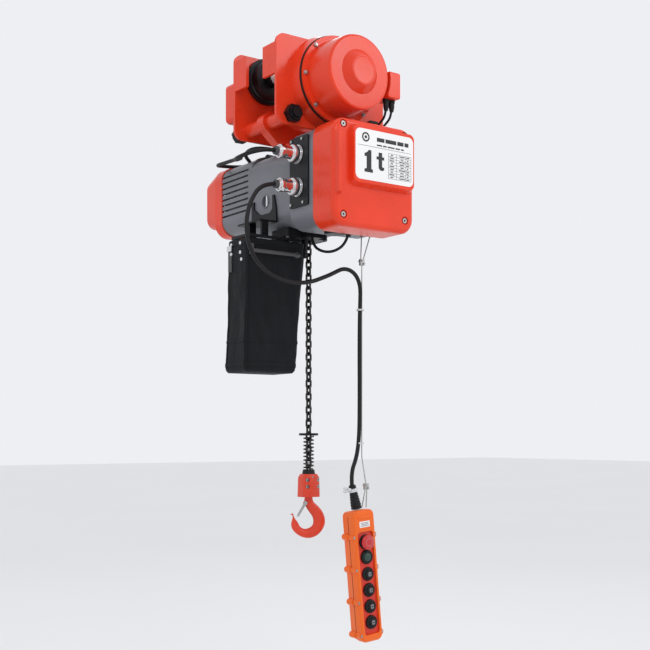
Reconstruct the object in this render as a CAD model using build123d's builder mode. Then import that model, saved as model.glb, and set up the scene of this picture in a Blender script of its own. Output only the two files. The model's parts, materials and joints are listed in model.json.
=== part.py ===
"""Electric chain hoist for 1 t on a motor trolley: every piece in its own node, in millimetres.

Frame: origin midway between the trolley's wheels at the level their treads roll on,
+X along the beam, -Y towards the trolley motor and the electric cover, +Z up.
"""

import os
from math import acos, cos, degrees, hypot, pi, radians, sin, sqrt, tan

from build123d import *

os.makedirs("parts", exist_ok=True)

# ---------------------------------------------------------------- driving dimensions
# trolley
plate_gap = 206
plate_t = 9
plate_length = 372
plate_top = 122
plate_bottom = -124
plate_inner = plate_gap / 2
plate_outer = plate_inner + plate_t
tab_bottom, tab_top = 12, 97
tab_reach = 60
wheel_x = 84
tread_radius = 55
wheel_module, wheel_teeth, pinion_teeth = 3, 42, 14
axle_radius = 10
shaft_x = 137
shaft_z = -95
shaft_radius = 14
tube_radius = 19.5
hanger_y, hanger_t = 4, 32
drive_module, drive_gear_teeth, drive_pinion_teeth = 1.5, 50, 14
drive_x = -10
drive_z = tread_radius - sqrt((drive_module * (drive_gear_teeth + drive_pinion_teeth) / 2) ** 2 - drive_x**2)
case_radius = 122
case_front = -148
flange_front = -163
drum_front = -254

# hoist body
housing_left, housing_right = -130, 142
housing_top, housing_bottom = -142, -410
housing_back, housing_front = -98, -205
cover_front = -316
gear_left, gear_right = -112, 116
gear_top, gear_bottom = -165, -392
gear_back = 138
motor_half = 108
motor_top, motor_bottom = -156, -362
motor_back = 306
fan_step, fan_back = 346, 411
motor_axis_z = (motor_top + motor_bottom) / 2

# chain and lifting
chain_wire, chain_pitch = 6.3, 19.1
link_width = 21
pockets = 5
lift_radius = hypot(chain_pitch / sin(pi / 10), chain_wire / cos(pi / 10)) / 2
lift_wheel_x = -lift_radius
lift_wheel_z = -290
block_top, block_bottom = -1087, -1153
block_radius = 29.5
plate_z = -976
bowl_z = -1221
bowl_radius = 20

# pendant
pendant_x, pendant_y = 72.5, -157
pendant_top, pendant_length = -1183, 371
pendant_width, pendant_depth = 74, 52
pendant_tilt = 5.4

# cords
control_wire = 11.5
supply_wire = 11
small_wire = 8
rope_wire = 3.2


# ---------------------------------------------------------------- helpers
def finish(piece, name):
    """Label a finished piece and write it as its own STEP file."""
    piece.part.label = name
    export_step(piece.part, f"parts/{name}.step")


def facing_front(y, x=0, z=0):
    """Plane across Y whose normal points to -Y, local x along +X and local y up."""
    return Plane(origin=(x, y, z), x_dir=(1, 0, 0), z_dir=(0, -1, 0))


def facing_left(x, y=0, z=0):
    """Plane across X whose normal points to -X, local x along -Y and local y up."""
    return Plane(origin=(x, y, z), x_dir=(0, -1, 0), z_dir=(-1, 0, 0))


def involute(base, radius):
    """Involute angle in radians at a radius, from a base circle."""
    pressure = acos(min(1, base / radius))
    return tan(pressure) - pressure


def gear_outline(module, teeth, turn=0, play=0.12):
    """Closed list of points of an external involute gear, a tooth centred on the turn angle in degrees."""
    pitch_r = module * teeth / 2
    base_r = pitch_r * cos(radians(20))
    root_r = pitch_r - 1.25 * module
    tip_r = pitch_r + module
    half = pi / (2 * teeth) - play / pitch_r + involute(base_r, pitch_r)
    start_r = max(base_r, root_r)
    flank = [start_r + (tip_r - start_r) * k / 4 for k in range(5)]
    points = []
    for tooth in range(teeth):
        centre = radians(turn) + 2 * pi * tooth / teeth
        rising = [(root_r, half)] if base_r > root_r else []
        rising += [(r, half - involute(base_r, r)) for r in flank]
        for r, angle in rising:
            points.append((r * cos(centre - angle), r * sin(centre - angle)))
        for r, angle in reversed(rising):
            points.append((r * cos(centre + angle), r * sin(centre + angle)))
    return points


def corner_radii(points):
    """Largest even bend at each corner of a cord: 0.45 of the shorter run over the tangent of half the turn."""
    radii = []
    for before, at, after in zip(points, points[1:], points[2:]):
        run_in = Vector(at) - Vector(before)
        run_out = Vector(after) - Vector(at)
        turn = radians(run_in.get_angle(run_out))
        radii.append(0.45 * min(run_in.length, run_out.length) / tan(turn / 2))
    return radii


def cord_report(name, points, wire, part):
    """Print a cord's length, smallest bend and how its volume compares with section times length."""
    radii = corner_radii(points)
    length = part.volume / (pi * wire * wire / 4)
    straight = sum((Vector(b) - Vector(a)).length for a, b in zip(points, points[1:]))
    print(f"{name}: length {length:.0f} mm, polyline {straight:.0f} mm, bends {[round(r) for r in radii]}")


# ---------------------------------------------------------------- trolley side plates
def side_plate(side, name):
    """One side plate with bent-in tabs at both ends; side is -1 for the front and +1 for the back."""
    outer = side * plate_outer
    with BuildPart() as plate:
        with BuildSketch(facing_front(min(outer, side * plate_inner) + plate_t)) as outline:
            with Locations((0, (plate_top + plate_bottom) / 2)):
                RectangleRounded(plate_length, plate_top - plate_bottom, 26)
            with Locations((-wheel_x, tread_radius), (wheel_x, tread_radius)):
                Circle(axle_radius, mode=Mode.SUBTRACT)
            with Locations((-shaft_x, shaft_z), (shaft_x, shaft_z)):
                Circle(shaft_radius + 0.1, mode=Mode.SUBTRACT)
            if side < 0:
                with Locations((0, tread_radius)):
                    Circle(14, mode=Mode.SUBTRACT)
        extrude(amount=plate_t)
        inner_face = side * plate_inner
        for end in (-1, 1):
            with BuildSketch(Plane.XY.offset(tab_bottom)) as tab:
                with Locations((end * (plate_length - plate_t) / 2, inner_face - side * tab_reach / 2)):
                    Rectangle(plate_t, tab_reach)
            extrude(amount=tab_top - tab_bottom)
    finish(plate, name)


side_plate(-1, "front_side_plate")
side_plate(1, "back_side_plate")

weight_x, weight_z, weight_length, weight_height = -91, -8, 172, 114
with BuildPart() as counterweight:
    with BuildSketch(facing_front(plate_outer + 62)) as weight_face:
        with Locations((weight_x, weight_z)):
            RectangleRounded(weight_length, weight_height, 14)
    extrude(amount=61.5)
    fillet(counterweight.faces().sort_by(Axis.Y)[-1].edges(), 6)
finish(counterweight, "counterweight")


# ---------------------------------------------------------------- wheels and axles
gear_tip = wheel_module * (wheel_teeth + 2) / 2
wheel_back_face, wheel_flange_face, wheel_tread_face = 100.5, 89, 60


def wheel(x, side, geared, name):
    """Flanged wheel at x; side -1 rolls by the front plate. The geared ones carry teeth on the flange."""
    with BuildPart() as body:
        profile_y = [wheel_back_face, wheel_flange_face, wheel_tread_face]
        with BuildSketch(Plane(origin=(x, 0, tread_radius), x_dir=(1, 0, 0), z_dir=(0, 0, 1))) as half:
            with BuildLine():
                Polyline(
                    (axle_radius + 0.1, side * profile_y[0]),
                    (58, side * profile_y[0]),
                    (58, side * profile_y[1]),
                    (tread_radius, side * (profile_y[1] - 3)),
                    (tread_radius - 1, side * profile_y[2]),
                    (44, side * (profile_y[2] - 2)),
                    (40, side * (profile_y[2] + 8)),
                    (22, side * (profile_y[2] + 8)),
                    (20, side * (profile_y[2] - 4)),
                    (axle_radius + 0.1, side * (profile_y[2] - 4)),
                    close=True,
                )
            make_face()
        revolve(axis=Axis((x, 0, tread_radius), (0, 1, 0)))
        rim_y = wheel_flange_face if side < 0 else wheel_back_face
        with BuildSketch(facing_front(side * rim_y, x, tread_radius)) as rim:
            if geared:
                with BuildLine():
                    Polyline(*gear_outline(wheel_module, wheel_teeth, 180 / wheel_teeth), close=True)
                make_face()
            else:
                Circle(gear_tip)
            Circle(50, mode=Mode.SUBTRACT)
        extrude(amount=wheel_back_face - wheel_flange_face)
    finish(body, name)


wheel(-wheel_x, -1, True, "wheel_front_left")
wheel(wheel_x, -1, True, "wheel_front_right")
wheel(-wheel_x, 1, False, "wheel_back_left")
wheel(wheel_x, 1, False, "wheel_back_right")

with BuildPart() as wheel_axles:
    for axle_x in (-wheel_x, wheel_x):
        for side in (-1, 1):
            start = side * plate_outer
            with BuildSketch(facing_front(max(start, side * 53.5), axle_x, tread_radius)) as axle:
                Circle(axle_radius)
            extrude(amount=abs(start - side * 53.5))
            with BuildSketch(facing_front(-45 if side < 0 else 53.5, axle_x, tread_radius)) as axle_head:
                Circle(17)
            extrude(amount=8.5)
finish(wheel_axles, "wheel_axles")


# ---------------------------------------------------------------- trolley drive
with BuildPart() as trolley_pinion:
    with BuildSketch(facing_front(-wheel_flange_face + 3, 0, tread_radius)) as pinion_teeth_face:
        with BuildLine():
            Polyline(*gear_outline(wheel_module, pinion_teeth), close=True)
        make_face()
    extrude(amount=wheel_back_face - wheel_flange_face + 3)
    with BuildSketch(facing_front(-wheel_back_face, 0, tread_radius)) as pinion_shaft:
        Circle(13.5)
    extrude(amount=abs(case_front + 22) - wheel_back_face)
    mesh_turn = degrees(acos((drive_x) / hypot(drive_x, drive_z - tread_radius)))
    with BuildSketch(facing_front(case_front + 24, 0, tread_radius)) as reduction:
        with BuildLine():
            Polyline(*gear_outline(drive_module, drive_gear_teeth, -mesh_turn), close=True)
        make_face()
    extrude(amount=12)
finish(trolley_pinion, "trolley_pinion")

drive_at = (drive_x, drive_z)
with BuildPart() as trolley_rotor:
    with BuildSketch(facing_front(case_front + 23, *drive_at)) as rotor_pinion:
        with BuildLine():
            half_gap = 180 / drive_pinion_teeth
            Polyline(*gear_outline(drive_module, drive_pinion_teeth, 180 - mesh_turn + half_gap), close=True)
        make_face()
    extrude(amount=11)
    with BuildSketch(facing_front(case_front + 12, *drive_at)) as rotor_shaft:
        Circle(8)
    extrude(amount=96)
    with BuildSketch(facing_front(flange_front - 12, *drive_at)) as rotor_core:
        Circle(46)
    extrude(amount=58)
finish(trolley_rotor, "trolley_rotor")

with BuildPart() as trolley_gear_case:
    with BuildSketch(facing_front(-plate_outer, *drive_at)) as case_base:
        Circle(133)
    with BuildSketch(facing_front(case_front, *drive_at)) as case_rim:
        Circle(case_radius)
    loft()
    with BuildSketch(facing_front(-plate_outer, *drive_at)) as case_hollow:
        Circle(106)
    extrude(amount=abs(case_front) - plate_outer, mode=Mode.SUBTRACT)
finish(trolley_gear_case, "trolley_gear_case")

drum_back_radius, drum_front_radius = 108, 101
boss_base, boss_top, boss_height = 57, 36, 20
with BuildPart() as trolley_motor_housing:
    with BuildSketch(Plane(origin=(drive_x, 0, drive_z), x_dir=(1, 0, 0), z_dir=(0, 0, 1))) as drum_half:
        with BuildLine():
            Polyline(
                (20, case_front),
                (case_radius - 8, case_front),
                (case_radius - 8, case_front - 5),
                (case_radius, case_front - 5),
                (case_radius, flange_front),
                (drum_back_radius, flange_front),
                (drum_front_radius + 0.4, drum_front + 6),
                (drum_front_radius - 1.5, drum_front + 1.7),
                (drum_front_radius - 6, drum_front),
                (boss_base, drum_front),
                (boss_top + 2, drum_front - boss_height + 1.6),
                (boss_top - 1, drum_front - boss_height),
                (0, drum_front - boss_height),
                (0, drum_front + 6),
                (drum_front_radius - 8, drum_front + 6),
                (drum_back_radius - 8, case_front - 5),
                (20, case_front - 5),
                close=True,
            )
        make_face()
    revolve(axis=Axis((drive_x, 0, drive_z), (0, 1, 0)))
finish(trolley_motor_housing, "trolley_motor_housing")

box_left, box_right = 90, 134
box_bottom, box_top = -42, 30
with BuildPart() as trolley_terminal_box:
    with BuildSketch(facing_front(-190)) as terminal_face:
        with Locations(((box_left + box_right) / 2, (box_bottom + box_top) / 2)):
            RectangleRounded(box_right - box_left, box_top - box_bottom, 6)
    extrude(amount=64)
    fillet(trolley_terminal_box.faces().sort_by(Axis.Y)[0].edges(), 3)
    fillet(trolley_terminal_box.faces().sort_by(Axis.Y)[-1].edges(), 2)
    with BuildSketch(facing_front(-185, *drive_at)) as saddle:
        Circle(drum_back_radius + 0.3)
    extrude(amount=80, mode=Mode.SUBTRACT)
finish(trolley_terminal_box, "trolley_terminal_box")


# ---------------------------------------------------------------- suspension
nut_flats = 44
nut_height, crown_height, crown_radius = 20, 6, 19
washer_count, washer_height, washer_radius = 6, 5, 24
shaft_front = plate_outer + nut_height + crown_height + 8
back_nut = plate_outer + washer_count * washer_height + 0.3
shaft_back = back_nut + nut_height + crown_height + 8
with BuildPart() as suspension_shafts:
    for x in (-shaft_x, shaft_x):
        with BuildSketch(facing_front(shaft_back, x, shaft_z)) as rod:
            Circle(shaft_radius)
        extrude(amount=shaft_back + shaft_front)
        for start in (-plate_outer - 0.3, back_nut + nut_height):
            with BuildSketch(facing_front(start, x, shaft_z)) as nut:
                RegularPolygon(nut_flats / 2, 6, major_radius=False)
            extrude(amount=nut_height)
        for start in (-plate_outer - 0.3 - nut_height, back_nut + nut_height + crown_height):
            with BuildSketch(facing_front(start, x, shaft_z)) as crown:
                Circle(crown_radius)
            extrude(amount=crown_height)
        for washer in range(washer_count):
            with BuildSketch(facing_front(back_nut - washer * washer_height, x, shaft_z)) as spare_washer:
                Circle(washer_radius - washer % 2)
            extrude(amount=washer_height)
finish(suspension_shafts, "suspension_shafts")

hanger_front, hanger_back = hanger_y - hanger_t / 2, hanger_y + hanger_t / 2
with BuildPart() as spacer_tubes:
    for x in (-shaft_x, shaft_x):
        for high, low in ((hanger_front - 0.3, -plate_inner), (plate_inner, hanger_back + 0.3)):
            with BuildSketch(facing_front(high, x, shaft_z)) as tube:
                Circle(tube_radius)
                Circle(shaft_radius + 0.1, mode=Mode.SUBTRACT)
            extrude(amount=high - low)
finish(spacer_tubes, "spacer_tubes")

foot_z = gear_top + 10
with BuildPart() as hanger:
    with BuildSketch(facing_front(hanger_back)) as hanger_face:
        with BuildLine():
            Polyline(
                (-shaft_x - 20, shaft_z - 19),
                (-100, gear_top + 1),
                (100, gear_top + 1),
                (shaft_x + 20, shaft_z - 19),
                (shaft_x + 12, shaft_z + 25),
                (60, shaft_z - 8),
                (-60, shaft_z - 8),
                (-shaft_x - 12, shaft_z + 25),
                close=True,
            )
        make_face()
        with Locations((-shaft_x, shaft_z), (shaft_x, shaft_z)):
            Circle(28)
            Circle(shaft_radius + 0.1, mode=Mode.SUBTRACT)
    extrude(amount=hanger_t)
    with BuildSketch(Plane.XY.offset(gear_top)) as foot:
        with Locations((0, hanger_y)):
            RectangleRounded(196, 88, 12)
    extrude(amount=12)
finish(hanger, "hanger")


# ---------------------------------------------------------------- hoist body
housing_x = (housing_left + housing_right) / 2
housing_w = housing_right - housing_left
housing_z = (housing_top + housing_bottom) / 2
housing_h = housing_top - housing_bottom
with BuildPart() as control_housing:
    with BuildSketch(facing_front(housing_back)) as housing_outer:
        with Locations((housing_x, housing_z)):
            RectangleRounded(housing_w, housing_h, 44)
    extrude(amount=housing_back - housing_front - 0.3)
    with BuildSketch(facing_front(housing_back - 14)) as housing_inner:
        with Locations((housing_x, housing_z)):
            RectangleRounded(housing_w - 16, housing_h - 16, 36)
    extrude(amount=housing_back - housing_front, mode=Mode.SUBTRACT)
    with BuildSketch(Plane(origin=(-16, -150, housing_bottom + 1), z_dir=(0, 0, -1))) as blank_plug:
        Circle(29)
    extrude(amount=7)
finish(control_housing, "control_housing")

cover_left, cover_right = housing_left, housing_right + 3
cover_bottom, cover_top = -424, -137
rest_level = cover_front + 17
panel_left, panel_right = -84, 138
panel_bottom, panel_top = -324, -148
pillar_right = -100
with BuildPart() as electric_cover:
    with BuildSketch(facing_front(housing_front)) as cover_outer:
        with Locations(((cover_left + cover_right) / 2, (cover_bottom + cover_top) / 2)):
            RectangleRounded(cover_right - cover_left, cover_top - cover_bottom, 42)
    extrude(amount=housing_front - rest_level)
    fillet(electric_cover.faces().sort_by(Axis.Y)[0].edges(), 15)
    with BuildSketch(facing_front(rest_level + 16)) as panel_base:
        with Locations(((panel_left + panel_right) / 2, (panel_bottom + panel_top) / 2)):
            RectangleRounded(panel_right - panel_left, panel_top - panel_bottom, 20)
    with BuildSketch(facing_front(cover_front)) as panel_face:
        with Locations(((panel_left + panel_right) / 2, (panel_bottom + panel_top) / 2 + 4)):
            RectangleRounded(panel_right - panel_left - 16, panel_top - panel_bottom - 24, 16)
    loft()
    with BuildSketch(facing_front(rest_level + 16)) as pillar_base:
        with Locations(((cover_left + pillar_right) / 2 + 2, -262)):
            RectangleRounded(pillar_right - cover_left - 6, 176, 10)
    with BuildSketch(facing_front(cover_front + 4)) as pillar_face:
        with Locations(((cover_left + pillar_right) / 2 - 2, -260)):
            RectangleRounded(12, 158, 5)
    loft()
    with BuildSketch(facing_front(housing_front)) as cover_inner:
        with Locations(((cover_left + cover_right) / 2, (cover_bottom + cover_top) / 2)):
            RectangleRounded(cover_right - cover_left - 10, cover_top - cover_bottom - 10, 37)
    extrude(amount=housing_front - rest_level - 10, mode=Mode.SUBTRACT)
    for x, z in ((-98, -394), (112, -388), (-98, -156), (112, -156)):
        with BuildSketch(facing_front(rest_level - 1, x, z)) as pocket:
            Circle(11)
        extrude(amount=-8, mode=Mode.SUBTRACT)
finish(electric_cover, "electric_cover")

label_x, label_z = 27, -232
with BuildPart() as label_plate:
    with BuildSketch(facing_front(cover_front)) as label_face:
        with Locations((label_x, label_z)):
            RectangleRounded(198, 134, 16)
    extrude(amount=0.8)
finish(label_plate, "label_plate")

with BuildPart() as contactors:
    for x in (-70, -10, 50):
        with BuildSketch(facing_front(housing_back - 14, x, -210)) as contactor_face:
            RectangleRounded(46, 74, 3)
        extrude(amount=76)
    with BuildSketch(facing_front(housing_back - 14, -40, -330)) as transformer_face:
        RectangleRounded(90, 76, 4)
    extrude(amount=66)
    with BuildSketch(facing_front(housing_back - 14, 70, -325)) as terminals_face:
        RectangleRounded(80, 26, 2)
    extrude(amount=40)
finish(contactors, "contactors")

connector_y = -144.5
upper_connector_z, lower_connector_z = -212, -302
with BuildPart() as connector_plate:
    with BuildSketch(facing_left(housing_left, connector_y, -259)) as connector_face:
        RectangleRounded(86, 190, 5)
        with Locations((0, upper_connector_z + 259), (0, lower_connector_z + 259)):
            Circle(14, mode=Mode.SUBTRACT)
    extrude(amount=5)
finish(connector_plate, "connector_plate")

connector_end = -214


def plug_connector(z, name):
    """Round chrome plug connector: flange, ribbed ring, barrel, stepped clamp and a cable bore."""
    face = housing_left - 5
    steps = ((face, 26), (face - 6, 26), (face - 6, 20), (face - 28, 20), (face - 28, 16.5),
             (face - 54, 16.5), (face - 54, 14), (connector_end, 12.5))
    with BuildPart() as connector:
        with BuildSketch(Plane(origin=(0, connector_y, z), x_dir=(1, 0, 0), z_dir=(0, -1, 0))) as half:
            with BuildLine():
                Polyline((face, 0), *steps, (connector_end, 0), close=True)
            make_face()
        revolve(axis=Axis((0, connector_y, z), (1, 0, 0)))
        with BuildSketch(facing_left(face, connector_y, z)) as flange_square:
            RectangleRounded(50, 50, 7)
        extrude(amount=3)
    finish(connector, name)


plug_connector(upper_connector_z, "supply_connector")
plug_connector(lower_connector_z, "pendant_connector")

wheel_bay_half = 34
with BuildPart() as gear_body:
    gear_mid = (gear_left + gear_right) / 2
    with BuildSketch(facing_front(gear_back)) as gear_outer:
        with Locations((gear_mid, (gear_top + gear_bottom) / 2)):
            RectangleRounded(gear_right - gear_left, gear_top - gear_bottom, 46)
    extrude(amount=gear_back - housing_back)
    with BuildSketch(Plane.XY.offset(gear_bottom)) as wheel_bay:
        with Locations((lift_wheel_x - 4, 0)):
            Rectangle(104, 2 * wheel_bay_half)
    extrude(amount=gear_top - gear_bottom - 38, mode=Mode.SUBTRACT)
    with BuildSketch(facing_front(gear_back, lift_wheel_x, lift_wheel_z)) as wheel_bore:
        Circle(15.1)
    extrude(amount=gear_back - housing_back - 20, mode=Mode.SUBTRACT)
    with BuildSketch(facing_left(gear_left, 56, -303)) as window:
        Circle(17)
    extrude(amount=-9, mode=Mode.SUBTRACT)
finish(gear_body, "gear_body")

fin_first, fin_pitch, fin_slot, fin_depth = -190, 17, 6, 11
with BuildPart() as motor_housing:
    with BuildSketch(facing_front(motor_back)) as motor_outer:
        with Locations((0, motor_axis_z)):
            RectangleRounded(2 * motor_half, motor_top - motor_bottom, 42)
    extrude(amount=motor_back - gear_back - 0.3)
    for side in (-1, 1):
        for row in range(8):
            with BuildSketch(facing_front(motor_back, side * motor_half, fin_first - row * fin_pitch)) as slot:
                Rectangle(2 * fin_depth, fin_slot)
            extrude(amount=motor_back - gear_back - 18, mode=Mode.SUBTRACT)
    for column in range(7):
        for z in (motor_top, motor_bottom):
            with BuildSketch(facing_front(motor_back, (column - 3) * fin_pitch, z)) as slot:
                Rectangle(fin_slot, 16)
            extrude(amount=motor_back - gear_back - 18, mode=Mode.SUBTRACT)
    with BuildSketch(facing_front(motor_back, 0, motor_axis_z)) as motor_bore:
        Circle(84)
    extrude(amount=motor_back - gear_back - 14, mode=Mode.SUBTRACT)
    with BuildSketch(facing_front(motor_back, 0, motor_axis_z)) as shaft_way:
        Circle(15)
    extrude(amount=motor_back - gear_back, mode=Mode.SUBTRACT)
finish(motor_housing, "motor_housing")

with BuildPart() as stator:
    with BuildSketch(facing_front(motor_back - 26, 0, motor_axis_z)) as stator_ring:
        Circle(84)
        Circle(52.5, mode=Mode.SUBTRACT)
    extrude(amount=104)
finish(stator, "stator")

with BuildPart() as motor_rotor:
    with BuildSketch(facing_front(motor_back + 66, 0, motor_axis_z)) as motor_shaft:
        Circle(12)
    extrude(amount=motor_back + 66 - gear_back - 2)
    with BuildSketch(facing_front(motor_back - 28, 0, motor_axis_z)) as rotor_core:
        Circle(51.5)
    extrude(amount=100)
    with BuildSketch(facing_front(motor_back + 60, 0, motor_axis_z)) as fan_hub:
        Circle(30)
    extrude(amount=30)
    with BuildSketch(facing_front(motor_back + 58, 0, motor_axis_z)) as fan_blades:
        with PolarLocations(40, 9):
            Rectangle(32, 4)
    extrude(amount=26)
finish(motor_rotor, "motor_rotor")

band_left, band_top, band_bottom = motor_half + 2, -152, -366
with BuildPart() as fan_cover:
    with BuildSketch(facing_front(fan_step)) as band:
        with Locations((0, (band_top + band_bottom) / 2)):
            RectangleRounded(2 * band_left, band_top - band_bottom, 44)
    extrude(amount=fan_step - motor_back - 0.3)
    with BuildSketch(facing_front(fan_step)) as dome_base:
        with Locations((0, -249)):
            RectangleRounded(2 * band_left - 4, 190, 36)
    with BuildSketch(facing_front(fan_back)) as dome_end:
        with Locations((0, -254)):
            RectangleRounded(2 * band_left - 14, 148, 30)
    loft()
    fillet(fan_cover.faces().sort_by(Axis.Y)[-1].edges(), 6)
    with BuildSketch(facing_front(fan_back - 8)) as hollow_wide:
        with Locations((0, -254)):
            RectangleRounded(2 * band_left - 30, 130, 20)
    extrude(amount=fan_back - 8 - fan_step, mode=Mode.SUBTRACT)
    with BuildSketch(facing_front(fan_step)) as hollow_band:
        with Locations((0, (band_top + band_bottom) / 2)):
            RectangleRounded(2 * band_left - 12, band_top - band_bottom - 12, 38)
    extrude(amount=fan_step - motor_back, mode=Mode.SUBTRACT)
    with BuildSketch(facing_front(fan_back + 1, 0, motor_axis_z)) as grille:
        for ring in (22, 39, 56):
            with PolarLocations(ring, 6):
                SlotCenterToCenter(0.62 * ring, 6, rotation=90)
    extrude(amount=12, mode=Mode.SUBTRACT)
finish(fan_cover, "fan_cover")


# ---------------------------------------------------------------- lift wheel and chain
with BuildPart() as lift_wheel:
    with BuildSketch(Plane(origin=(lift_wheel_x, 0, lift_wheel_z), x_dir=(1, 0, 0), z_dir=(0, 0, 1))) as wheel_half:
        with BuildLine():
            Polyline(
                (0, -70), (15, -70), (15, -22), (41, -22), (41, -13), (26, -11.5), (26, -5),
                (19, -4.5), (19, 4.5), (26, 5), (26, 11.5), (41, 13), (41, 22), (15, 22), (15, 120), (0, 120),
                close=True,
            )
        make_face()
    revolve(axis=Axis((lift_wheel_x, 0, lift_wheel_z), (0, 1, 0)))
finish(lift_wheel, "lift_wheel")


def chain(name, first, step, count, sides):
    """Run of round links: each is a stadium swept by its wire, the wide side alternating between two ways."""
    bend = (link_width - chain_wire) / 2
    half_straight = (chain_pitch + chain_wire) / 2 - bend
    with BuildPart() as links:
        for row in range(count):
            centre = Vector(first) + Vector(step) * row
            wide = Vector(sides[row % 2])
            link_plane = Plane(origin=centre, x_dir=wide, z_dir=wide.cross(Vector(step)))
            with BuildLine(link_plane) as loop:
                Line((bend, -half_straight), (bend, half_straight))
                ThreePointArc((bend, half_straight), (0, half_straight + bend), (-bend, half_straight))
                Line((-bend, half_straight), (-bend, -half_straight))
                ThreePointArc((-bend, -half_straight), (0, -half_straight - bend), (bend, -half_straight))
            with BuildSketch(Plane(origin=centre + wide.normalized() * bend, z_dir=step)) as wire:
                Circle(chain_wire / 2)
            sweep(path=loop.line)
    finish(links, name)


link_sides = ((1, 0, 0), (0, 1, 0))
hook_links = 8
hook_chain_bottom = block_top - 6
load_links = round((lift_wheel_z - hook_chain_bottom) / chain_pitch) - hook_links
chain("hook_chain", (0, 0, hook_chain_bottom), (0, 0, chain_pitch), hook_links, link_sides)
load_bottom = hook_chain_bottom + hook_links * chain_pitch
chain("load_chain", (0, 0, load_bottom), (0, 0, chain_pitch), load_links, link_sides)

slack_x, slack_z, slack_drift, slack_links = -66, -318, -2.4, 9
slack_fall = -sqrt(chain_pitch**2 - slack_drift**2)
slack_sides = ((0, 1, 0), (slack_fall, 0, -slack_drift))
chain("slack_chain", (slack_x, 0, slack_z), (slack_drift, 0, slack_fall), slack_links, slack_sides)

guide_bottom = -414
with BuildPart() as chain_guide:
    with BuildSketch(Plane.XY.offset(guide_bottom)) as guide_outer:
        with Locations((-32, 0)):
            RectangleRounded(150, 84, 14)
    extrude(amount=gear_bottom - guide_bottom)
    with BuildSketch(Plane.XY.offset(guide_bottom - 1)) as load_way:
        Circle(14.5)
    extrude(amount=60, mode=Mode.SUBTRACT)
    with BuildSketch(Plane.XY.offset(guide_bottom - 1)) as slack_way:
        with Locations((-75, 0)):
            RectangleRounded(42, 30, 10)
    extrude(amount=60, mode=Mode.SUBTRACT)
    with BuildSketch(Plane.XY.offset(guide_bottom)) as tongue:
        with Locations((-21, -8)):
            RectangleRounded(12, 26, 5)
    with BuildSketch(Plane.XY.offset(guide_bottom - 52)) as tongue_end:
        with Locations((-21, -8)):
            RectangleRounded(8, 12, 3)
    loft()
    with BuildSketch(facing_front(-42, -22, (gear_bottom + guide_bottom) / 2)) as limit_box:
        RectangleRounded(58, gear_bottom - guide_bottom, 5)
    extrude(amount=22)
finish(chain_guide, "chain_guide")


# ---------------------------------------------------------------- chain bag
bag_left, bag_right = -226, -32
bag_front, bag_back = -29, 77
bag_top, bag_bottom = -428, -800
bag_x, bag_y = (bag_left + bag_right) / 2, (bag_front + bag_back) / 2
bag_lean_x, bag_lean_y = -14.5, 12.5
base_width, base_depth = bag_right - bag_left - 21, bag_back - bag_front + 15
with BuildPart() as chain_bag:
    with BuildSketch(Plane.XY.offset(bag_bottom)) as bag_base:
        with Locations((bag_x + bag_lean_x, bag_y + bag_lean_y)):
            RectangleRounded(base_width, base_depth, 14)
    with BuildSketch(Plane.XY.offset(bag_top)) as bag_mouth:
        with Locations((bag_x, bag_y)):
            RectangleRounded(bag_right - bag_left, bag_back - bag_front, 12)
    loft()
    fillet(chain_bag.faces().sort_by(Axis.Z)[0].edges(), 8)
    with BuildSketch(Plane.XY.offset(bag_bottom + 8)) as bag_inner_base:
        with Locations((bag_x + bag_lean_x, bag_y + bag_lean_y)):
            RectangleRounded(base_width - 10, base_depth - 10, 10)
    with BuildSketch(Plane.XY.offset(bag_top)) as bag_inner_mouth:
        with Locations((bag_x, bag_y)):
            RectangleRounded(bag_right - bag_left - 8, bag_back - bag_front - 8, 8)
    loft(mode=Mode.SUBTRACT)
finish(chain_bag, "chain_bag")

arm_t = 5
with BuildPart() as bag_bracket:
    with BuildSketch(facing_left(gear_left)) as arch:
        with BuildLine():
            Polyline((-112, -296), (-112, -318), (-80, -340), (-28, -340), (-14, -330), (-14, -292),
                     (-6, -292), (6, -338), (6, -372), (-124, -372), (-124, -296), close=True)
        make_face()
    extrude(amount=arm_t)
    with BuildSketch(Plane.XY.offset(-372)) as shelf:
        with Locations((gear_left - 28, 59)):
            Rectangle(56, 118)
    extrude(amount=arm_t)
    frame_z = bag_top + 4
    with BuildSketch(Plane.XY.offset(frame_z)) as mouth_ring:
        with Locations((bag_x, bag_y)):
            RectangleRounded(bag_right - bag_left - 10, bag_back - bag_front - 10, 10)
            RectangleRounded(bag_right - bag_left - 22, bag_back - bag_front - 22, 6, mode=Mode.SUBTRACT)
    extrude(amount=8)
    for x, y in ((gear_left - 40, bag_back - 12), (gear_left - 40, 0.5)):
        with BuildSketch(Plane.XY.offset(frame_z + 6)) as hanger_bar:
            with Locations((x, y)):
                Rectangle(22, 8)
        extrude(amount=-372 - frame_z - 5)
finish(bag_bracket, "bag_bracket")


# ---------------------------------------------------------------- hook block
with BuildPart() as limit_plate:
    with BuildSketch(Plane.XY.offset(plate_z)) as disc:
        Circle(28)
        Circle(13, mode=Mode.SUBTRACT)
    extrude(amount=7)
    fillet(limit_plate.edges().filter_by(GeomType.CIRCLE).filter_by(lambda e: e.radius > 20), 2)
finish(limit_plate, "limit_plate")

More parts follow.
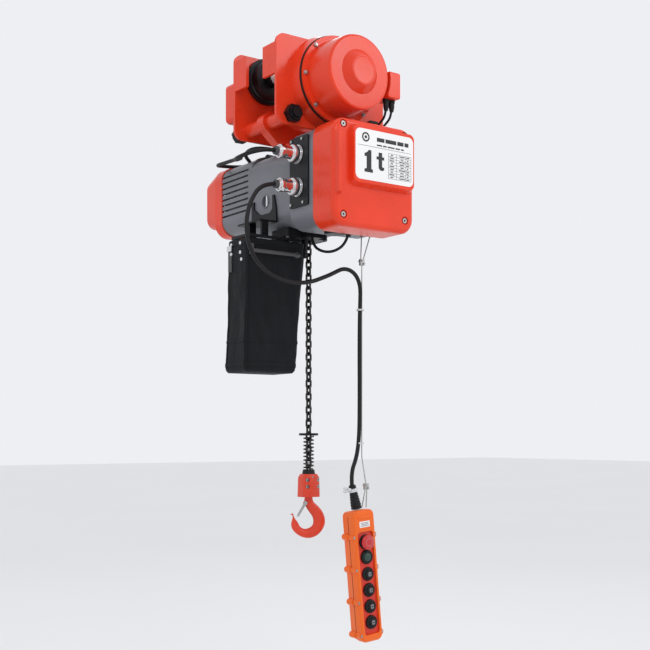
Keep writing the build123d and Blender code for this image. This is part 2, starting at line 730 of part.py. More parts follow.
spring_radius, spring_wire, spring_turns = 14.5, 3.2, 9
rubber_top = block_top + 13
spring_bottom, spring_top = rubber_top + spring_wire / 2, plate_z - spring_wire / 2
spring_pitch = (spring_top - spring_bottom) / spring_turns
with BuildPart() as buffer_spring:
    for turn in range(spring_turns):
        with BuildLine() as coil:
            Helix(spring_pitch, spring_pitch, spring_radius, center=(0, 0, spring_bottom + turn * spring_pitch))
        with BuildSketch(Plane(origin=coil.line @ 0, z_dir=coil.line % 0)) as coil_wire:
            Circle(spring_wire / 2)
        sweep(path=coil.line, is_frenet=True)
finish(buffer_spring, "buffer_spring")

with BuildPart() as rubber_buffer:
    with BuildSketch(Plane.XY.offset(block_top)) as rubber_base:
        Circle(19)
    with BuildSketch(Plane.XY.offset(rubber_top)) as rubber_end:
        Circle(16.5)
    loft()
    with BuildSketch(Plane.XY.offset(block_top)) as rubber_hole:
        Circle(12.5)
    extrude(amount=20, mode=Mode.SUBTRACT)
finish(rubber_buffer, "rubber_buffer")

neck_radius, collar_radius = 11, 17
pin_z = hook_chain_bottom - (chain_pitch + chain_wire) / 2 + chain_wire + 3.2
collar_z = block_bottom + 16


def hook_block_half(side, name):
    """Half of the split hook block, which closes round the hook's collar and the last link."""
    with BuildPart() as half:
        with BuildSketch(Plane.XY.offset(block_bottom)) as lower:
            RectangleRounded(2 * block_radius, 2 * block_radius - 8, 16)
        with BuildSketch(Plane.XY.offset(block_top - 10)) as upper:
            RectangleRounded(2 * block_radius - 3, 2 * block_radius - 10, 16)
        loft()
        with BuildSketch(Plane.XY.offset(block_top - 10)) as shoulder:
            RectangleRounded(2 * block_radius - 3, 2 * block_radius - 10, 16)
        with BuildSketch(Plane.XY.offset(block_top)) as crest:
            RectangleRounded(2 * block_radius - 14, 2 * block_radius - 21, 12)
        loft()
        with BuildSketch(Plane.XY.offset(block_bottom)) as neck_hole:
            Circle(neck_radius + 0.4)
        extrude(amount=20, mode=Mode.SUBTRACT)
        with BuildSketch(Plane.XY.offset(collar_z - 6)) as collar_room:
            Circle(collar_radius + 0.5)
        extrude(amount=20, mode=Mode.SUBTRACT)
        with BuildSketch(Plane.XY.offset(block_top - 34)) as link_room:
            Circle(14)
        extrude(amount=40, mode=Mode.SUBTRACT)
        with BuildSketch(facing_front(40, 0, pin_z)) as pin_way:
            Circle(3.2)
        extrude(amount=80, mode=Mode.SUBTRACT)
        for x in (-18.5, 18.5):
            for z in (block_top - 17, block_bottom + 30):
                with BuildSketch(facing_front(40, x, z)) as bolt_way:
                    Circle(3.1)
                extrude(amount=80, mode=Mode.SUBTRACT)
                for y, depth in ((-15.8, 20), (15.8, -20)):
                    with BuildSketch(facing_front(y, x, z)) as bolt_pocket:
                        Circle(6)
                    extrude(amount=depth, mode=Mode.SUBTRACT)
        split(bisect_by=Plane.XZ, keep=Keep.BOTTOM if side < 0 else Keep.TOP)
    finish(half, name)


hook_block_half(1, "hook_block_front")
hook_block_half(-1, "hook_block_back")

with BuildPart() as block_bolts:
    with BuildSketch(facing_front(22, 0, pin_z)) as load_pin:
        Circle(3.1)
    extrude(amount=44)
    for x in (-18.5, 18.5):
        for z in (block_top - 17, block_bottom + 30):
            with BuildSketch(facing_front(15.9, x, z)) as bolt_rod:
                Circle(3)
            extrude(amount=31.8)
            with BuildSketch(facing_front(-15.9, x, z)) as bolt_head:
                Circle(5)
                RegularPolygon(2.6, 6, mode=Mode.SUBTRACT)
            extrude(amount=5)
            with BuildSketch(facing_front(20.4, x, z)) as bolt_nut:
                RegularPolygon(4.8, 6)
            extrude(amount=4.5)
finish(block_bolts, "block_bolts")


# ---------------------------------------------------------------- hook and latch
hook_right, hook_out = (0.809, -0.588, 0), (-0.588, -0.809, 0)


def hook_plane(depth=0):
    """Plane the hook lies in, moved towards the open side's viewer by depth."""
    return Plane(origin=Vector(hook_out) * depth, x_dir=hook_right, z_dir=hook_out)


def hook_station(across, height, heading):
    """Plane square to the hook's centre line, at a place in the hook's plane, heading in degrees."""
    at = Vector(hook_right) * across + Vector(0, 0, height)
    along = Vector(hook_right) * cos(radians(heading)) + Vector(0, 0, sin(radians(heading)))
    return Plane(origin=at, x_dir=hook_out, z_dir=along)


# across, height, heading, thickness in the hook's plane, depth
hook_stations = (
    (0, -1155, -90, 22, 22),
    (1, -1168, -82, 26, 22),
    (12, -1186, -52, 30, 21),
    (26, -1205, -66, 33, 21),
    (30, -1229, -97, 34, 22),
    (17, -1251, -142, 31, 23),
    (-8, -1259, 180, 27, 23),
    (-31, -1249, 139, 23, 20),
    (-42, -1227, 108, 18, 17),
    (-50, -1203, 110, 11, 12),
)
latch_pivot = (-9, -1171)
with BuildPart() as hook:
    for across, height, heading, thick, depth in hook_stations:
        with BuildSketch(hook_station(across, height, heading)) as section:
            Ellipse(depth / 2, thick / 2)
    loft()
    with BuildSketch(Plane.XY.offset(-1156)) as neck:
        Circle(neck_radius)
    extrude(amount=25)
    with BuildSketch(Plane.XY.offset(collar_z - 5.7)) as collar:
        Circle(collar_radius)
    extrude(amount=8)
    with BuildSketch(hook_plane(-10)) as lug:
        with Locations(latch_pivot):
            Circle(7)
    extrude(amount=20)
    with BuildSketch(hook_plane(-15)) as pin_hole:
        with Locations(latch_pivot):
            Circle(2.6)
    extrude(amount=30, mode=Mode.SUBTRACT)
finish(hook, "hook")

latch_end = (-33, -1212)
with BuildPart() as latch:
    reach = Vector(latch_end) - Vector(latch_pivot)
    lean = degrees(acos(reach.X / reach.length))
    for depth in (-13.5, 11.5):
        with BuildSketch(hook_plane(depth)) as ear:
            with Locations(latch_pivot):
                Circle(6)
            with Locations((latch_pivot[0] + reach.X * 0.45, latch_pivot[1] + reach.Y * 0.45)):
                Rectangle(reach.length * 0.9, 7, rotation=-lean)
        extrude(amount=2)
    with BuildSketch(hook_plane(-12)) as web:
        with Locations((latch_pivot[0] + reach.X * 0.62, latch_pivot[1] + reach.Y * 0.62)):
            Rectangle(reach.length * 0.74, 2.4, rotation=-lean)
    extrude(amount=24)
    with BuildSketch(hook_plane(-13)) as latch_pin:
        with Locations(latch_pivot):
            Circle(2.5)
    extrude(amount=26)
finish(latch, "latch")


# ---------------------------------------------------------------- pendant
lean_right, lean_up = cos(radians(pendant_tilt)), sin(radians(pendant_tilt))
shell_split, shell_front, shell_back = -161, -183, -131
shell_rim = shell_front - 5
shell_wall = 3


def pendant_face(y):
    """Plane across Y in the leaning pendant's own axes, origin at its middle."""
    middle = (pendant_x, y, pendant_top - pendant_length / 2)
    return Plane(origin=middle, x_dir=(lean_right, 0, lean_up), z_dir=(0, -1, 0))


lobe_heights = (112, 20, -72, -165)
button_heights = {"up_button": 5.5, "down_button": -40, "left_button": -86, "right_button": -131}
stop_height, start_height = 96, 53.5
stop_stem, start_stem, push_stem = 12, 12.5, 12.5
stem_play = 0.4
channel_width, channel_length, channel_middle = 54, 290, -20

with BuildPart() as pendant_back:
    with BuildSketch(pendant_face(shell_split)) as back_outer:
        RectangleRounded(pendant_width, pendant_length, 17)
    with BuildSketch(pendant_face(shell_back)) as back_end:
        RectangleRounded(pendant_width - 10, pendant_length - 10, 14)
    loft()
    with BuildSketch(pendant_face(shell_split)) as back_inner:
        RectangleRounded(pendant_width - 10, pendant_length - 10, 14)
    extrude(amount=shell_split - shell_back + shell_wall, mode=Mode.SUBTRACT)
finish(pendant_back, "pendant_back")

with BuildPart() as pendant_front:
    with BuildSketch(pendant_face(shell_split - 0.1)) as front_outer:
        RectangleRounded(pendant_width, pendant_length, 17)
        for height in lobe_heights:
            with Locations((-pendant_width / 2 + 4, height), (pendant_width / 2 - 4, height)):
                Circle(9)
    extrude(amount=shell_split - shell_rim - 5.1)
    with BuildSketch(pendant_face(shell_rim + 5)) as front_low:
        RectangleRounded(pendant_width - 1, pendant_length - 1, 16)
    with BuildSketch(pendant_face(shell_rim)) as front_high:
        RectangleRounded(pendant_width - 9, pendant_length - 9, 12)
    loft()
    with BuildSketch(pendant_face(shell_rim)) as button_channel:
        with Locations((0, channel_middle)):
            RectangleRounded(channel_width, channel_length, 9)
    extrude(amount=shell_rim - shell_front, mode=Mode.SUBTRACT)
    with BuildSketch(pendant_face(shell_split)) as front_inner:
        RectangleRounded(pendant_width - 8, pendant_length - 8, 13)
    extrude(amount=shell_split - shell_front - shell_wall, mode=Mode.SUBTRACT)
    with BuildSketch(pendant_face(shell_front)) as collars:
        for height in button_heights.values():
            with Locations((0, height)):
                Circle(17.5)
        with Locations((0, start_height)):
            Circle(19)
        with Locations((0, stop_height)):
            Circle(17)
    extrude(amount=4)
    with BuildSketch(pendant_face(shell_split)) as stem_holes:
        for height in button_heights.values():
            with Locations((0, height)):
                Circle(push_stem + stem_play)
        with Locations((0, start_height), (0, stop_height)):
            Circle(start_stem + stem_play)
    extrude(amount=60, mode=Mode.SUBTRACT)
finish(pendant_front, "pendant_front")

button_press = 4


def push_button(name, height, cap_top):
    """Round button with a flat rounded cap, standing out of its collar, and a flange behind the shell."""
    with BuildPart() as button:
        with BuildSketch(pendant_face(shell_front + 8)) as stem:
            with Locations((0, height)):
                Circle(push_stem)
        extrude(amount=8 + cap_top)
        fillet(button.faces().sort_by(Axis.Y)[0].edges(), 4)
        with BuildSketch(pendant_face(shell_front + 10)) as rear:
            with Locations((0, height)):
                Circle(8)
        extrude(amount=4)
    finish(button, name)


for name, height in button_heights.items():
    push_button(name, height, 12)
push_button("start_button", start_height, 9)

with BuildPart() as stop_button:
    with BuildSketch(pendant_face(shell_front + 8)) as stop_stem_face:
        with Locations((0, stop_height)):
            Circle(stop_stem)
    extrude(amount=8 + 12)
    with BuildSketch(pendant_face(shell_front - 10)) as mushroom:
        with Locations((0, stop_height)):
            Circle(21)
    extrude(amount=10)
    fillet(stop_button.faces().sort_by(Axis.Y)[0].edges(), 5)
finish(stop_button, "stop_button")

boot_top, boot_foot = (38, -1115), (54, -1180)
boot_drop = Vector(boot_foot[0] - boot_top[0], 0, boot_foot[1] - boot_top[1])
with BuildPart() as cable_boot:
    with BuildSketch(Plane(origin=(boot_top[0], pendant_y, boot_top[1]), z_dir=boot_drop)) as boot_mouth:
        Circle(10)
    with BuildSketch(Plane(origin=(boot_foot[0], pendant_y, boot_foot[1]), z_dir=boot_drop)) as boot_base:
        Circle(15)
    loft()
    clamp_at = Vector(boot_top[0], pendant_y, boot_top[1]) + boot_drop * 0.14
    with BuildSketch(Plane(origin=clamp_at, z_dir=boot_drop)) as hose_clamp:
        Circle(12.5)
    extrude(amount=11)
    split(bisect_by=Plane(pendant_face(0).origin + Vector(-lean_up, 0, lean_right) * (pendant_length / 2),
                          z_dir=(-lean_up, 0, lean_right)), keep=Keep.TOP)
finish(cable_boot, "cable_boot")


# ---------------------------------------------------------------- cords
def cord(name, points, wire):
    """Round cord along straight runs joined by even bends."""
    with BuildPart() as tube:
        with BuildLine() as route:
            FilletPolyline(*points, radius=corner_radii(points))
        with BuildSketch(Plane(origin=route.line @ 0, z_dir=route.line % 0)) as wire_face:
            Circle(wire / 2)
        sweep(path=route.line)
    cord_report(name, points, wire, tube.part)
    finish(tube, name)


pendant_route = (
    (connector_end, connector_y, lower_connector_z),
    (-252, -144.5, -305),
    (-292, -145, -358),
    (-306, -146, -428),
    (-290, -148, -495),
    (-244, -150, -542),
    (-180, -152, -563),
    (-110, -154, -562),
    (-48, -156, -541),
    (24, -157, -500),
    (64, -157, -523),
    (65, -157, -600),
    (64.5, -157, -730),
    (65, -157, -860),
    (64, -157, -975),
    (55, -157, -1036),
    (34.5, -157, -1080),
    (boot_top[0], pendant_y, boot_top[1]),
)
cord("pendant_cable", pendant_route, control_wire)

supply_route = (
    (connector_end, connector_y, upper_connector_z),
    (-256, -144, -217),
    (-288, -110, -227),
    (-280, -56, -227),
    (-245, -5, -214),
    (-202, 42, -194),
    (-165, 98, -176),
    (-148, 165, -167),
    (-146, 238, -164),
    (-130, 298, -157),
    (-88, 325, -146),
    (-45, 314, -145),
    (-30, 272, -149.5),
    (-60, 235, -149.5),
    (-105, 210, -145),
    (-123, 160, -141),
    (-122, 108, -141),
    (-100, 66, -144),
    (-54, 54, -151),
    (-8, 62, -156),
    (28, 92, -157),
    (38, 130, -149),
    (40, 158, -146),
)
cord("supply_cable", supply_route, supply_wire)

coil_x, coil_y, coil_ring, coil_thick = 35, 222, 61, 14
with BuildPart() as supply_coil:
    with BuildSketch(Plane.XZ.offset(-coil_y)) as coil_section:
        with Locations((coil_x + coil_ring, motor_top + coil_thick + 0.05)):
            Circle(coil_thick)
    revolve(axis=Axis((coil_x, coil_y, 0), (0, 0, 1)))
finish(supply_coil, "supply_coil")

plug_radius, plug_length = 20, 66
with BuildPart() as supply_plug:
    plug_plane = Plane(origin=(coil_x - 34, coil_y, motor_top + plug_radius + 0.1), z_dir=(1, 0, 0))
    with BuildSketch(plug_plane) as plug_shell:
        Circle(plug_radius)
        Circle(plug_radius - 3, mode=Mode.SUBTRACT)
    extrude(amount=plug_length)
    with BuildSketch(plug_plane.offset(24)) as plug_body:
        Circle(plug_radius - 2)
    extrude(amount=plug_length - 24)
    with BuildSketch(plug_plane.offset(4)) as plug_pins:
        with PolarLocations(10, 5):
            Circle(2.5)
    extrude(amount=21)
    with BuildSketch(plug_plane.offset(plug_length)) as plug_tail:
        Circle(8)
    extrude(amount=18)
finish(supply_plug, "supply_plug")

limit_route = (
    (-25, -53, guide_bottom),
    (-24, -57, -438),
    (-9, -84, -457),
    (11, -114, -457),
    (27, -143, -437),
    (31, -150, housing_bottom),
)
cord("limit_cable", limit_route, small_wire)

motor_wire = 6.5
gland_x = (101, 121)
with BuildPart() as trolley_cables:
    for x in gland_x:
        motor_route = ((x, -230, -58), (x, -230, -86), (x, -198, -104), (x, -168, -119), (x, -165, -133))
        with BuildLine() as route:
            FilletPolyline(*motor_route, radius=corner_radii(motor_route))
        with BuildSketch(Plane(origin=motor_route[0], z_dir=(0, 0, -1))) as wire_face:
            Circle(motor_wire / 2)
        sweep(path=route.line)
        with BuildSketch(Plane.XY.offset(-58)) as gland:
            with Locations((x, -230)):
                Circle(7.5)
        extrude(amount=16)
        with BuildSketch(Plane.XY.offset(-64)) as gland_nut:
            with Locations((x, -230)):
                RegularPolygon(7.5, 6)
        extrude(amount=8)
        with BuildSketch(Plane.XY.offset(housing_top)) as entry:
            with Locations((x, -165)):
                Circle(7.5)
        extrude(amount=10)
finish(trolley_cables, "trolley_cables")

rope_x, rope_top, rope_foot = 72.8, -488, -1036
with BuildPart() as support_rope:
    strands = (
        ((78, -149, housing_bottom), (rope_x - 3, -156, rope_top + 4)),
        ((98, -163, housing_bottom), (rope_x + 3, -158, rope_top + 4)),
        ((rope_x, -157, rope_top + 4), (rope_x, -157, rope_foot)),
        ((rope_x, -157, rope_foot), (88, -157, -1116)),
        ((86, -157, -1124), (73, -157, pendant_top + 4)),
        ((91, -157, -1124), (88, -157, pendant_top + 4)),
    )
    for top, foot in strands:
        span = Vector(foot) - Vector(top)
        with BuildSketch(Plane(origin=top, z_dir=span)) as strand:
            Circle(rope_wire / 2)
        extrude(amount=span.length)
    with Locations((rope_x, -157, rope_foot)):
        Sphere(rope_wire / 2)
    for clamp_x, clamp_z in ((rope_x, rope_top), (88, -1120)):
        with BuildSketch(Plane.XY.offset(clamp_z - 9)) as clamp:
            with Locations((clamp_x, -157)):
                RectangleRounded(15, 9, 2)
        extrude(amount=18)
        with BuildSketch(facing_front(-148, clamp_x, clamp_z)) as clamp_screw:
            with Locations((-3.5, 4), (3.5, -4)):
                Circle(2.5)
        extrude(amount=18)
    for x in (78, 98):
        with BuildSketch(Plane.XY.offset(housing_bottom - 5)) as rope_anchor:
            with Locations((x, -149 if x < 80 else -163)):
                Circle(5)
        extrude(amount=5)
finish(support_rope, "support_rope")

screw_hex = 5
flange_bolts, flange_bolt_ring = 8, 115
with BuildPart() as case_screws:
    for turn in range(flange_bolts):
        angle = radians(45 * turn)
        bolt_x = drive_x + flange_bolt_ring * cos(angle)
        bolt_z = drive_z + flange_bolt_ring * sin(angle)
        with BuildSketch(facing_front(flange_front, bolt_x, bolt_z)) as flange_bolt:
            RegularPolygon(screw_hex + 0.8, 6)
        extrude(amount=5)
    for y, z in ((-161, -172), (-111, -172), (-166, -345), (-108, -345)):
        with BuildSketch(facing_left(housing_left - 5, y, z)) as plate_screw:
            Circle(4)
        extrude(amount=3)
    for x, z in ((-98, -394), (112, -388), (-98, -156), (112, -156)):
        with BuildSketch(facing_front(rest_level + 7, x, z)) as cover_screw:
            Circle(7)
            RegularPolygon(3.2, 6, mode=Mode.SUBTRACT)
        extrude(amount=6)
    for x in (-150, -32):
        with BuildSketch(facing_front(plate_outer + 68, x, weight_z)) as weight_bolt:
            RegularPolygon(9, 6)
        extrude(amount=5.9)
finish(case_screws, "case_screws")

print("supply coil outer width", 2 * (coil_ring + coil_thick), "mm")
print("lift wheel pitch radius", round(lift_radius, 3), "trolley rotor height", round(drive_z, 3))
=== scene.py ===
import json
from math import cos, pi, radians, sin, sqrt, tau

import bmesh
import bpy
from mathutils import Matrix, Vector, noise


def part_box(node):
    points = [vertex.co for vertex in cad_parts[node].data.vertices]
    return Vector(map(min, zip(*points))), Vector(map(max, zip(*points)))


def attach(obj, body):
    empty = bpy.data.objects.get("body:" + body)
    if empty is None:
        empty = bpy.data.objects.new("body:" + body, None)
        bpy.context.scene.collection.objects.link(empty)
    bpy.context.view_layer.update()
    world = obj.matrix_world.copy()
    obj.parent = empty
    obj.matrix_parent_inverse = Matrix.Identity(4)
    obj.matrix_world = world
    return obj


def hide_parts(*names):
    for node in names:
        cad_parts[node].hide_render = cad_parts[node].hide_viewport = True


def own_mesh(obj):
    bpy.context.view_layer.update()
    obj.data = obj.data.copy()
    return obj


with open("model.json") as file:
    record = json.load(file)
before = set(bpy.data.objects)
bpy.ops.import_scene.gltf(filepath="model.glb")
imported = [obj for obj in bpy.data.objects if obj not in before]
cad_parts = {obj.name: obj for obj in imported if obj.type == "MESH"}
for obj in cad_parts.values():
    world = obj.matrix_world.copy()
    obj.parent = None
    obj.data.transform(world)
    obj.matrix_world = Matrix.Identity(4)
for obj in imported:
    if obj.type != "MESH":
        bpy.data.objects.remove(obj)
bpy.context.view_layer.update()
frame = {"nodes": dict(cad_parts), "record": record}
nodes = frame["nodes"]
MM = 0.001


def mm(*values):
    """A point or sizes given in millimetres, in metres."""
    return Vector([v * MM for v in values])


# ---------------------------------------------------------------- materials
def principled(name):
    """A new material with its Principled shader and node tree."""
    material = bpy.data.materials.new(name)
    material.use_nodes = True
    tree = material.node_tree
    return material, tree, tree.nodes["Principled BSDF"]


def noise_node(tree, scale, detail=5.0, stretch=None):
    """Noise in object space, stretched when stretch gives a scale for each axis."""
    place = tree.nodes.new("ShaderNodeTexCoord")
    out = place.outputs["Object"]
    if stretch:
        mapping = tree.nodes.new("ShaderNodeMapping")
        mapping.inputs["Scale"].default_value = stretch
        tree.links.new(out, mapping.inputs["Vector"])
        out = mapping.outputs["Vector"]
    node = tree.nodes.new("ShaderNodeTexNoise")
    node.inputs["Scale"].default_value = scale
    node.inputs["Detail"].default_value = detail
    tree.links.new(out, node.inputs["Vector"])
    return node.outputs["Fac"]


def ramp(tree, source, low, high, low_at=0.35, high_at=0.65):
    """Two-colour ramp over a grey value."""
    node = tree.nodes.new("ShaderNodeValToRGB")
    node.color_ramp.elements[0].position = low_at
    node.color_ramp.elements[0].color = (*low, 1)
    node.color_ramp.elements[1].position = high_at
    node.color_ramp.elements[1].color = (*high, 1)
    tree.links.new(source, node.inputs["Fac"])
    return node.outputs["Color"]


def spread(tree, source, low, high):
    """A grey value between 0 and 1 moved to a range."""
    node = tree.nodes.new("ShaderNodeMapRange")
    node.inputs["From Min"].default_value = 0.3
    node.inputs["From Max"].default_value = 0.7
    node.inputs["To Min"].default_value = low
    node.inputs["To Max"].default_value = high
    tree.links.new(source, node.inputs["Value"])
    return node.outputs["Result"]


def bump(tree, shader, source, distance, strength=1.0):
    """Fine relief from a grey value."""
    node = tree.nodes.new("ShaderNodeBump")
    node.inputs["Distance"].default_value = distance
    node.inputs["Strength"].default_value = strength
    tree.links.new(source, node.inputs["Height"])
    tree.links.new(node.outputs["Normal"], shader.inputs["Normal"])


def surface(name, color, shade=0.8, rough=(0.3, 0.45), metallic=0.0, coat=0.0, cloud=9.0, grain=900.0,
            relief=0.00006, shine=0.5):
    """Material whose colour drifts in soft clouds and whose surface has a fine grain."""
    material, tree, shader = principled(name)
    cloudy = noise_node(tree, cloud)
    fine = noise_node(tree, grain, 3.0)
    dark = tuple(c * shade for c in color)
    tree.links.new(ramp(tree, cloudy, dark, color), shader.inputs["Base Color"])
    tree.links.new(spread(tree, cloudy, *rough), shader.inputs["Roughness"])
    shader.inputs["Metallic"].default_value = metallic
    shader.inputs["Coat Weight"].default_value = coat
    shader.inputs["Coat Roughness"].default_value = 0.12
    shader.inputs["Specular IOR Level"].default_value = shine
    bump(tree, shader, fine, relief)
    return material


def woven(name, color):
    """Coarse woven fabric: two crossed waves give the threads."""
    material, tree, shader = principled(name)
    place = tree.nodes.new("ShaderNodeTexCoord")
    heights = []
    for axis in ("X", "Z"):
        wave = tree.nodes.new("ShaderNodeTexWave")
        wave.bands_direction = axis
        wave.inputs["Scale"].default_value = 260
        wave.inputs["Distortion"].default_value = 0.6
        tree.links.new(place.outputs["Object"], wave.inputs["Vector"])
        heights.append(wave.outputs["Fac"])
    weave = tree.nodes.new("ShaderNodeMath")
    weave.operation = "MAXIMUM"
    tree.links.new(heights[0], weave.inputs[0])
    tree.links.new(heights[1], weave.inputs[1])
    cloudy = noise_node(tree, 14.0)
    dark = tuple(c * 0.6 for c in color)
    tree.links.new(ramp(tree, cloudy, dark, color), shader.inputs["Base Color"])
    tree.links.new(spread(tree, cloudy, 0.62, 0.82), shader.inputs["Roughness"])
    shader.inputs["Sheen Weight"].default_value = 0.06
    shader.inputs["Specular IOR Level"].default_value = 0.15
    shader.inputs["Sheen Roughness"].default_value = 0.5
    bump(tree, shader, weave.outputs["Value"], 0.0003, 0.6)
    return material


ORANGE = (0.85, 0.05, 0.014)
looks = {
    "orange_paint": surface("orange_paint", ORANGE, 0.9, (0.24, 0.34), coat=0.2, relief=0.00003, shine=0.25),
    "hook_paint": surface("hook_paint", (0.76, 0.05, 0.014), 0.82, (0.3, 0.44), coat=0.25, relief=0.00005,
                          shine=0.35),
    "grey_paint": surface("grey_paint", (0.182, 0.187, 0.21), 0.86, (0.38, 0.5), coat=0.08, relief=0.00008,
                          shine=0.4),
    "steel": surface("steel", (0.50, 0.50, 0.49), 0.7, (0.24, 0.42), metallic=1.0, relief=0.00004),
    "wheel_steel": surface("wheel_steel", (0.045, 0.045, 0.05), 0.5, (0.35, 0.55), metallic=0.9,
                           relief=0.00015),
    "chrome": surface("chrome", (0.74, 0.74, 0.75), 0.9, (0.05, 0.13), metallic=1.0, relief=0.00001),
    "chain_steel": surface("chain_steel", (0.07, 0.068, 0.066), 0.5, (0.26, 0.42), metallic=0.9, cloud=60.0),
    "black_steel": surface("black_steel", (0.007, 0.007, 0.009), 0.7, (0.36, 0.5), relief=0.00006,
                           shine=0.22),
    "black_rubber": surface("black_rubber", (0.008, 0.008, 0.009), 0.7, (0.42, 0.58), relief=0.00008,
                            shine=0.3),
    "black_plastic": surface("black_plastic", (0.008, 0.008, 0.01), 0.75, (0.34, 0.48), relief=0.00012,
                             shine=0.25),
    "fabric": woven("fabric", (0.0085, 0.0095, 0.012)),
    "label": surface("label", (0.90, 0.90, 0.89), 0.97, (0.3, 0.4), relief=0.00001),
    "orange_plastic": surface("orange_plastic", (0.92, 0.15, 0.014), 0.93, (0.34, 0.46), relief=0.00008,
                              shine=0.3),
    "red_plastic": surface("red_plastic", (0.60, 0.010, 0.014), 0.85, (0.18, 0.28), coat=0.4),
    "green_plastic": surface("green_plastic", (0.008, 0.045, 0.028), 0.8, (0.25, 0.35), coat=0.2),
}
looks["channel_red"] = surface("channel_red", (0.72, 0.03, 0.01), 0.88, (0.4, 0.5), relief=0.00008)
looks["ink"] = surface("ink", (0.012, 0.012, 0.014), 0.9, (0.4, 0.5), relief=0.00001)
looks["bar_grey"] = surface("bar_grey", (0.07, 0.07, 0.075), 0.7, (0.5, 0.6))
looks["ivory"] = surface("ivory", (0.62, 0.62, 0.60), 0.9, (0.4, 0.5))
looks["mark_pink"] = surface("mark_pink", (0.70, 0.22, 0.22), 0.9, (0.35, 0.45))
looks["mark_grey"] = surface("mark_grey", (0.27, 0.27, 0.29), 0.85, (0.4, 0.5))

# the photo shows the spring darker than the bright steel of its record slot
darker = {"buffer_spring": "chain_steel"}
for entry in frame["record"]["subparts"]:
    mesh = nodes[entry["node"]].data
    mesh.materials.clear()
    mesh.materials.append(looks[darker.get(entry["node"], entry["material_slot"])])


# ---------------------------------------------------------------- shape helpers
def piece(name, mesh, look, body, *stands_for, slot=None, smooth=40):
    """Object from a mesh: its look, the body it rides on and the CAD nodes it stands for."""
    item = bpy.data.objects.new(name, mesh)
    bpy.context.scene.collection.objects.link(item)
    if look:
        mesh.materials.clear()
        mesh.materials.append(looks[look])
    if smooth:
        mesh.polygons.foreach_set("use_smooth", [True] * len(mesh.polygons))
        mesh.set_sharp_from_angle(angle=radians(smooth))
    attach(item, body)
    if stands_for:
        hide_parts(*stands_for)
    return item


def mesh_of(name, build):
    """Mesh made by a function that fills a bmesh."""
    mesh = bpy.data.meshes.new(name)
    shape = bmesh.new()
    build(shape)
    bmesh.ops.recalc_face_normals(shape, faces=shape.faces)
    shape.to_mesh(mesh)
    shape.free()
    return mesh


def frame_at(origin, along, right=None):
    """Matrix at a point whose Z runs along a direction, and whose X leans to right."""
    z = Vector(along).normalized()
    helper = Vector(right) if right else Vector((1, 0, 0) if abs(z.x) < 0.9 else (0, 1, 0))
    y = z.cross(helper).normalized()
    x = y.cross(z)
    turn = Matrix((x, y, z)).transposed().to_4x4()
    return Matrix.Translation(Vector(origin)) @ turn


def lathe(shape, profile, place, steps=64):
    """Surface turned round place's Z from (radius, height) points in millimetres."""
    rings = []
    for radius, height in profile:
        if radius < 1e-6:
            rings.append([shape.verts.new(place @ mm(0, 0, height))])
        else:
            ring = []
            for step in range(steps):
                angle = tau * step / steps
                ring.append(shape.verts.new(place @ mm(radius * cos(angle), radius * sin(angle), height)))
            rings.append(ring)
    for a, b in zip(rings, rings[1:]):
        for step in range(steps):
            after = (step + 1) % steps
            corners = [a[step % len(a)], a[after % len(a)], b[after % len(b)], b[step % len(b)]]
            unique = list(dict.fromkeys(corners))
            if len(unique) > 2:
                shape.faces.new(unique)


def rounded(profile, radius=0.6, steps=3):
    """The profile with each corner between its two ends rounded by a short curve."""
    result = [profile[0]]
    for before, at, after in zip(profile, profile[1:], profile[2:]):
        a, b, c = Vector(before), Vector(at), Vector(after)
        cut = min(radius, (a - b).length * 0.45, (c - b).length * 0.45)
        start = b + (a - b).normalized() * cut
        end = b + (c - b).normalized() * cut
        for step in range(steps + 1):
            t = step / steps
            result.append(tuple(start * (1 - t) ** 2 + b * 2 * t * (1 - t) + end * t * t))
    result.append(profile[-1])
    return result


def turned(name, profile, origin, along, look, body, *stands_for, slot=None, radius=0.6, steps=64):
    """Turned piece from a profile in millimetres."""
    place = frame_at(mm(*origin), along)
    mesh = mesh_of(name, lambda shape: lathe(shape, rounded(profile, radius), place, steps))
    return piece(name, mesh, look, body, *stands_for, slot=slot)


def turned_set(name, profile, places, look, body, slot=None, radius=0.6, steps=32):
    """Several equal turned shapes as one piece, each place being (origin in millimetres, direction)."""
    def build(shape):
        for origin, along in places:
            lathe(shape, rounded(profile, radius), frame_at(mm(*origin), along), steps)

    return piece(name, mesh_of(name, build), look, body, slot=slot)


def block_set(name, boxes, look, body, radius=1.0, slot=None):
    """Several rounded boxes as one piece, each box being (size in millimetres, matrix)."""
    def build(shape):
        for size, place in boxes:
            soft_box(shape, size, place, radius)

    return piece(name, mesh_of(name, build), look, body, slot=slot)


def soft_box(shape, size, place, radius=1.0, segments=3):
    """Box with rounded edges, size in millimetres, centred on place."""
    made = bmesh.ops.create_cube(shape, size=1.0)["verts"]
    bmesh.ops.scale(shape, vec=mm(*size), verts=made)
    edges = list({edge for vert in made for edge in vert.link_edges})
    result = bmesh.ops.bevel(shape, geom=edges, offset=radius * MM, segments=segments, affect="EDGES",
                             profile=0.5)
    verts = list({vert for face in result["faces"] for vert in face.verts})
    bmesh.ops.transform(shape, matrix=place, verts=verts)


def block(name, size, place, look, body, radius=1.0, slot=None):
    """Piece that is one rounded box."""
    mesh = mesh_of(name, lambda shape: soft_box(shape, size, place, radius))
    return piece(name, mesh, look, body, slot=slot)


